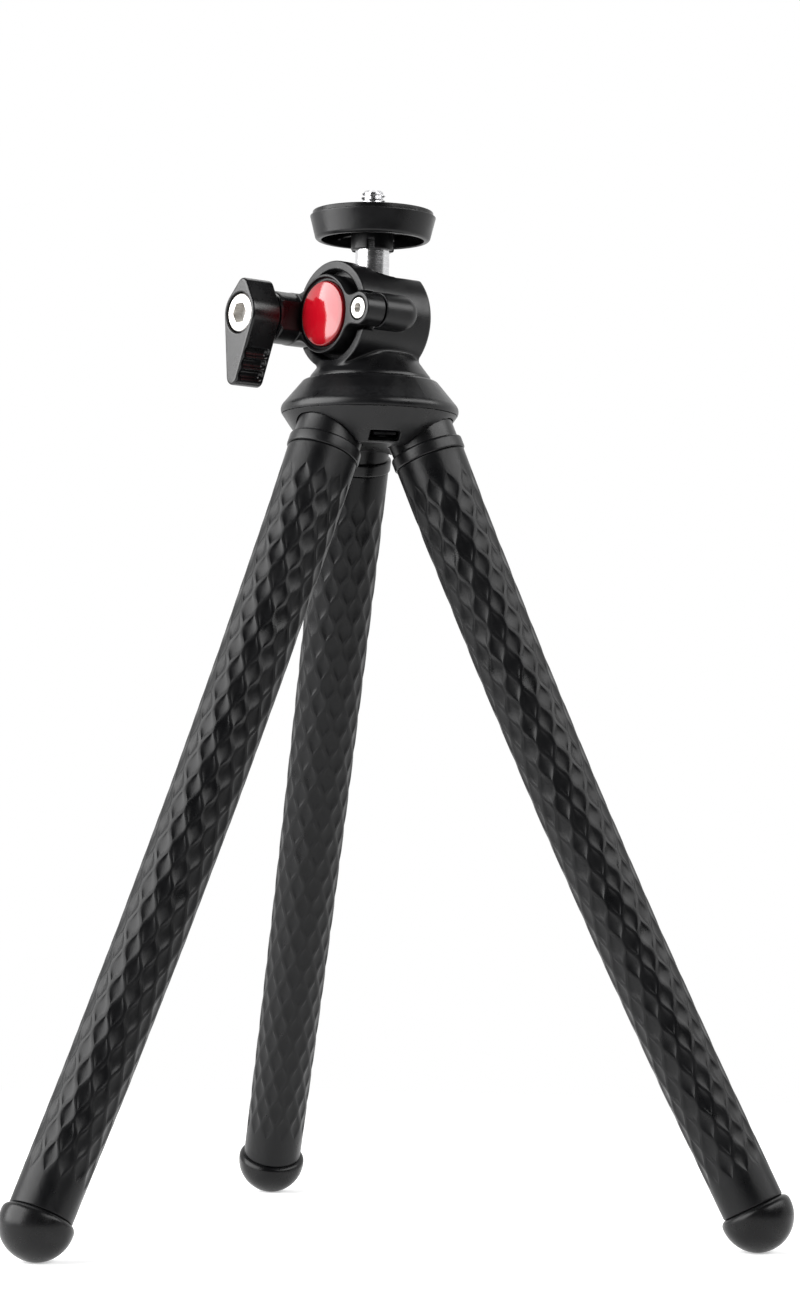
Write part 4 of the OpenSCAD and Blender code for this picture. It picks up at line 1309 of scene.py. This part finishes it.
class TRIPOD_OT_stage(bpy.types.Operator):
    """Set up the camera, the floor and the studio light"""

    bl_idname = "tripod.stage"
    bl_label = "Studio"

    def execute(self, context):
        stage = context.scene.tripod.stage
        self.make_camera(context, stage)
        self.make_world(context, stage)
        self.make_floor(context, stage)
        self.make_room(context, stage)
        self.make_lamps(context, stage)
        context.scene.view_settings.view_transform = "Standard"
        return {"FINISHED"}

    def make_camera(self, context, stage):
        """The camera at the picture's place."""
        turn = Matrix.Rotation(stage.azimuth, 3, "Z")
        forward = turn @ Vector((
            math.sin(stage.yaw) * math.cos(stage.pitch), math.cos(stage.yaw) * math.cos(stage.pitch),
            math.sin(stage.pitch),
        ))
        right = turn @ Vector((math.cos(stage.yaw), -math.sin(stage.yaw), 0))
        up = right.cross(forward)
        rolled_right = math.cos(stage.roll) * right + math.sin(stage.roll) * up
        rolled_up = math.cos(stage.roll) * up - math.sin(stage.roll) * right
        data = bpy.data.cameras.new("camera")
        data.lens = stage.lens
        data.sensor_width = 36
        data.clip_start = 0.01
        camera = bpy.data.objects.new("camera", data)
        axes = Matrix((rolled_right, rolled_up, -forward)).transposed().to_4x4()
        place = turn @ Vector((0, -stage.distance, stage.height))
        camera.matrix_world = Matrix.Translation(place) @ axes
        context.scene.collection.objects.link(camera)
        context.scene.camera = camera

    def background_share(self, graph):
        """One for the rays that see the background, straight or in a reflection."""
        path = graph.add("LightPath").outputs
        seen = graph.math("MAXIMUM", path["Is Camera Ray"], path["Is Glossy Ray"])
        return graph.math("MAXIMUM", seen, path["Is Transmission Ray"])

    def make_world(self, context, stage):
        """A white background that lights the tripod only weakly."""
        world = bpy.data.worlds.new("studio")
        world.use_nodes = True
        graph = Graph(world.node_tree)
        background = world.node_tree.nodes["Background"]
        strength = graph.remap(self.background_share(graph), 0.0, 1.0, stage.ambient, 1.0)
        graph.link(rgba(stage.backdrop), background.inputs["Color"])
        graph.link(strength, background.inputs["Strength"])
        context.scene.world = world

    def make_floor(self, context, stage):
        """A pale, slightly glossy floor that fades into the background."""
        sides = 96
        turns = np.arange(sides) * 2 * math.pi / sides
        edge = np.stack([np.cos(turns), np.sin(turns), np.zeros(sides)], 1) * stage.table
        floor = add_mesh("floor", edge, [range(sides)])
        made, graph, shader = new_material("Studio Floor")
        graph.tree.nodes.remove(shader)
        diffuse = graph.add("BsdfDiffuse", {"Color": rgba(stage.floor)})
        gloss = graph.add("BsdfGlossy", {"Color": (1, 1, 1, 1), "Roughness": stage.floor_roughness})
        lit = graph.add("MixShader", {0: stage.floor_gloss, 1: diffuse.outputs[0], 2: gloss.outputs[0]})
        lift = graph.add("Emission", {"Color": rgba(stage.backdrop)})
        strength = graph.remap(self.background_share(graph), 0.0, 1.0, 0.0, stage.floor_lift)
        graph.link(strength, lift.inputs["Strength"])
        near = graph.add("AddShader", {0: lit.outputs[0], 1: lift.outputs[0]})
        plain = graph.add("Emission", {"Color": rgba(stage.backdrop)})
        even = graph.remap(self.background_share(graph), 0.0, 1.0, stage.ambient, 1.0)
        graph.link(even, plain.inputs["Strength"])
        place = graph.add("TexCoord").outputs["Object"]
        away = graph.add("VectorMath", {0: place}, operation="LENGTH").outputs["Value"]
        fade = graph.remap(away, stage.fade_start, stage.fade_end, 0.0, 1.0)
        total = graph.add("MixShader", {0: fade, 1: near.outputs[0], 2: plain.outputs[0]})
        graph.link(total.outputs[0], graph.tree.nodes["Material Output"].inputs["Surface"])
        floor.data.materials.append(made)

    def make_room(self, context, stage):
        """The dark side of the studio, over and behind the camera."""
        sweep = np.linspace(0, stage.room_reach, ARC_STEPS)
        inner, outer = stage.room, stage.room + stage.room_wall
        outside = [(outer * math.sin(t), outer * math.cos(t)) for t in sweep]
        inside = [(inner * math.sin(t), inner * math.cos(t)) for t in sweep[::-1]]
        flat = context.scene.camera.location * Vector((1, 1, 0))
        towards = flat.normalized() + Vector((0, 0, math.tan(stage.room_rise)))
        place = towards.to_track_quat("Z", "Y").to_matrix().to_4x4()
        room = lathe("studio_room", outside + inside, place, sides=64)
        made, graph, shader = new_material("Studio Room")
        weave = graph.noise(graph.add("TexCoord").outputs["Object"], 60.0, 2.0, 0.5)
        dark = graph.blend(weave, rgba(stage.room_dark), rgba(stage.room_light))
        graph.link(dark, shader.inputs["Base Color"])
        shader.inputs["Roughness"].default_value = 1.0
        room.data.materials.append(made)
        room.visible_camera = False

    def make_lamps(self, context, stage):
        """Softboxes that stand at the left and the right, and one overhead, aimed at the tripod's middle."""
        aim = Vector((0, 0, stage.aim))
        # Name, azimuth in degrees, distance, level, width and height in metres, and power in watts
        lamps = (
            ("left_softbox", -110, 0.75, 0.42, 0.96, 0.8, 18),
            ("right_softbox", 25, 1.1, 0.85, 1.6, 0.6, 17),
            ("top_softbox", 140, 0.5, 1.25, 0.8, 0.8, 4),
        )
        for name, azimuth, distance, level, width, height, power in lamps:
            data = bpy.data.lights.new(name, "AREA")
            data.shape = "RECTANGLE"
            data.size, data.size_y = width, height
            data.energy = power
            lamp = bpy.data.objects.new(name, data)
            turn = math.radians(azimuth)
            lamp.location = (distance * math.cos(turn), distance * math.sin(turn), level)
            lamp.rotation_euler = (lamp.location - aim).to_track_quat("Z", "Y").to_euler()
            context.scene.collection.objects.link(lamp)


class TRIPOD_PT_panel(bpy.types.Panel):
    """Buttons and settings of the tripod"""

    bl_idname = "TRIPOD_PT_panel"
    bl_label = "Flexible Leg Tripod"
    bl_space_type = "VIEW_3D"
    bl_region_type = "UI"
    bl_category = "Tripod"

    def draw(self, context):
        settings = context.scene.tripod
        for operator in OPERATORS:
            self.layout.operator(operator.bl_idname)
        for group in ("head", "knob", "plate", "base", "legs", "finish", "stage"):
            box = self.layout.box()
            box.label(text=group.title())
            values = getattr(settings, group)
            for key in values.__annotations__:
                box.prop(values, key)


SETTINGS = (
    HeadSettings, KnobSettings, PlateSettings, BaseSettings, LegSettings, FinishSettings, StageSettings,
    TripodSettings,
)
OPERATORS = (
    TRIPOD_OT_stage, TRIPOD_OT_sleeves, TRIPOD_OT_feet, TRIPOD_OT_ferrules, TRIPOD_OT_base,
    TRIPOD_OT_housing, TRIPOD_OT_jaw, TRIPOD_OT_knob, TRIPOD_OT_platform, TRIPOD_OT_stem,
    TRIPOD_OT_fasteners,
)
CLASSES = (*SETTINGS, *OPERATORS, TRIPOD_PT_panel)


def register():
    """Adds the settings, operators and panel to Blender."""
    for item in CLASSES:
        bpy.utils.register_class(item)
    bpy.types.Scene.tripod = PointerProperty(type=TripodSettings)


def unregister():
    """Takes the settings, operators and panel out of Blender."""
    del bpy.types.Scene.tripod
    for item in reversed(CLASSES):
        bpy.utils.unregister_class(item)


def main():
    """Makes every piece and the studio."""
    register()
    for operator in OPERATORS:
        group, name = operator.bl_idname.split(".")
        getattr(getattr(bpy.ops, group), name)()


if __name__ == "__main__":
    main()
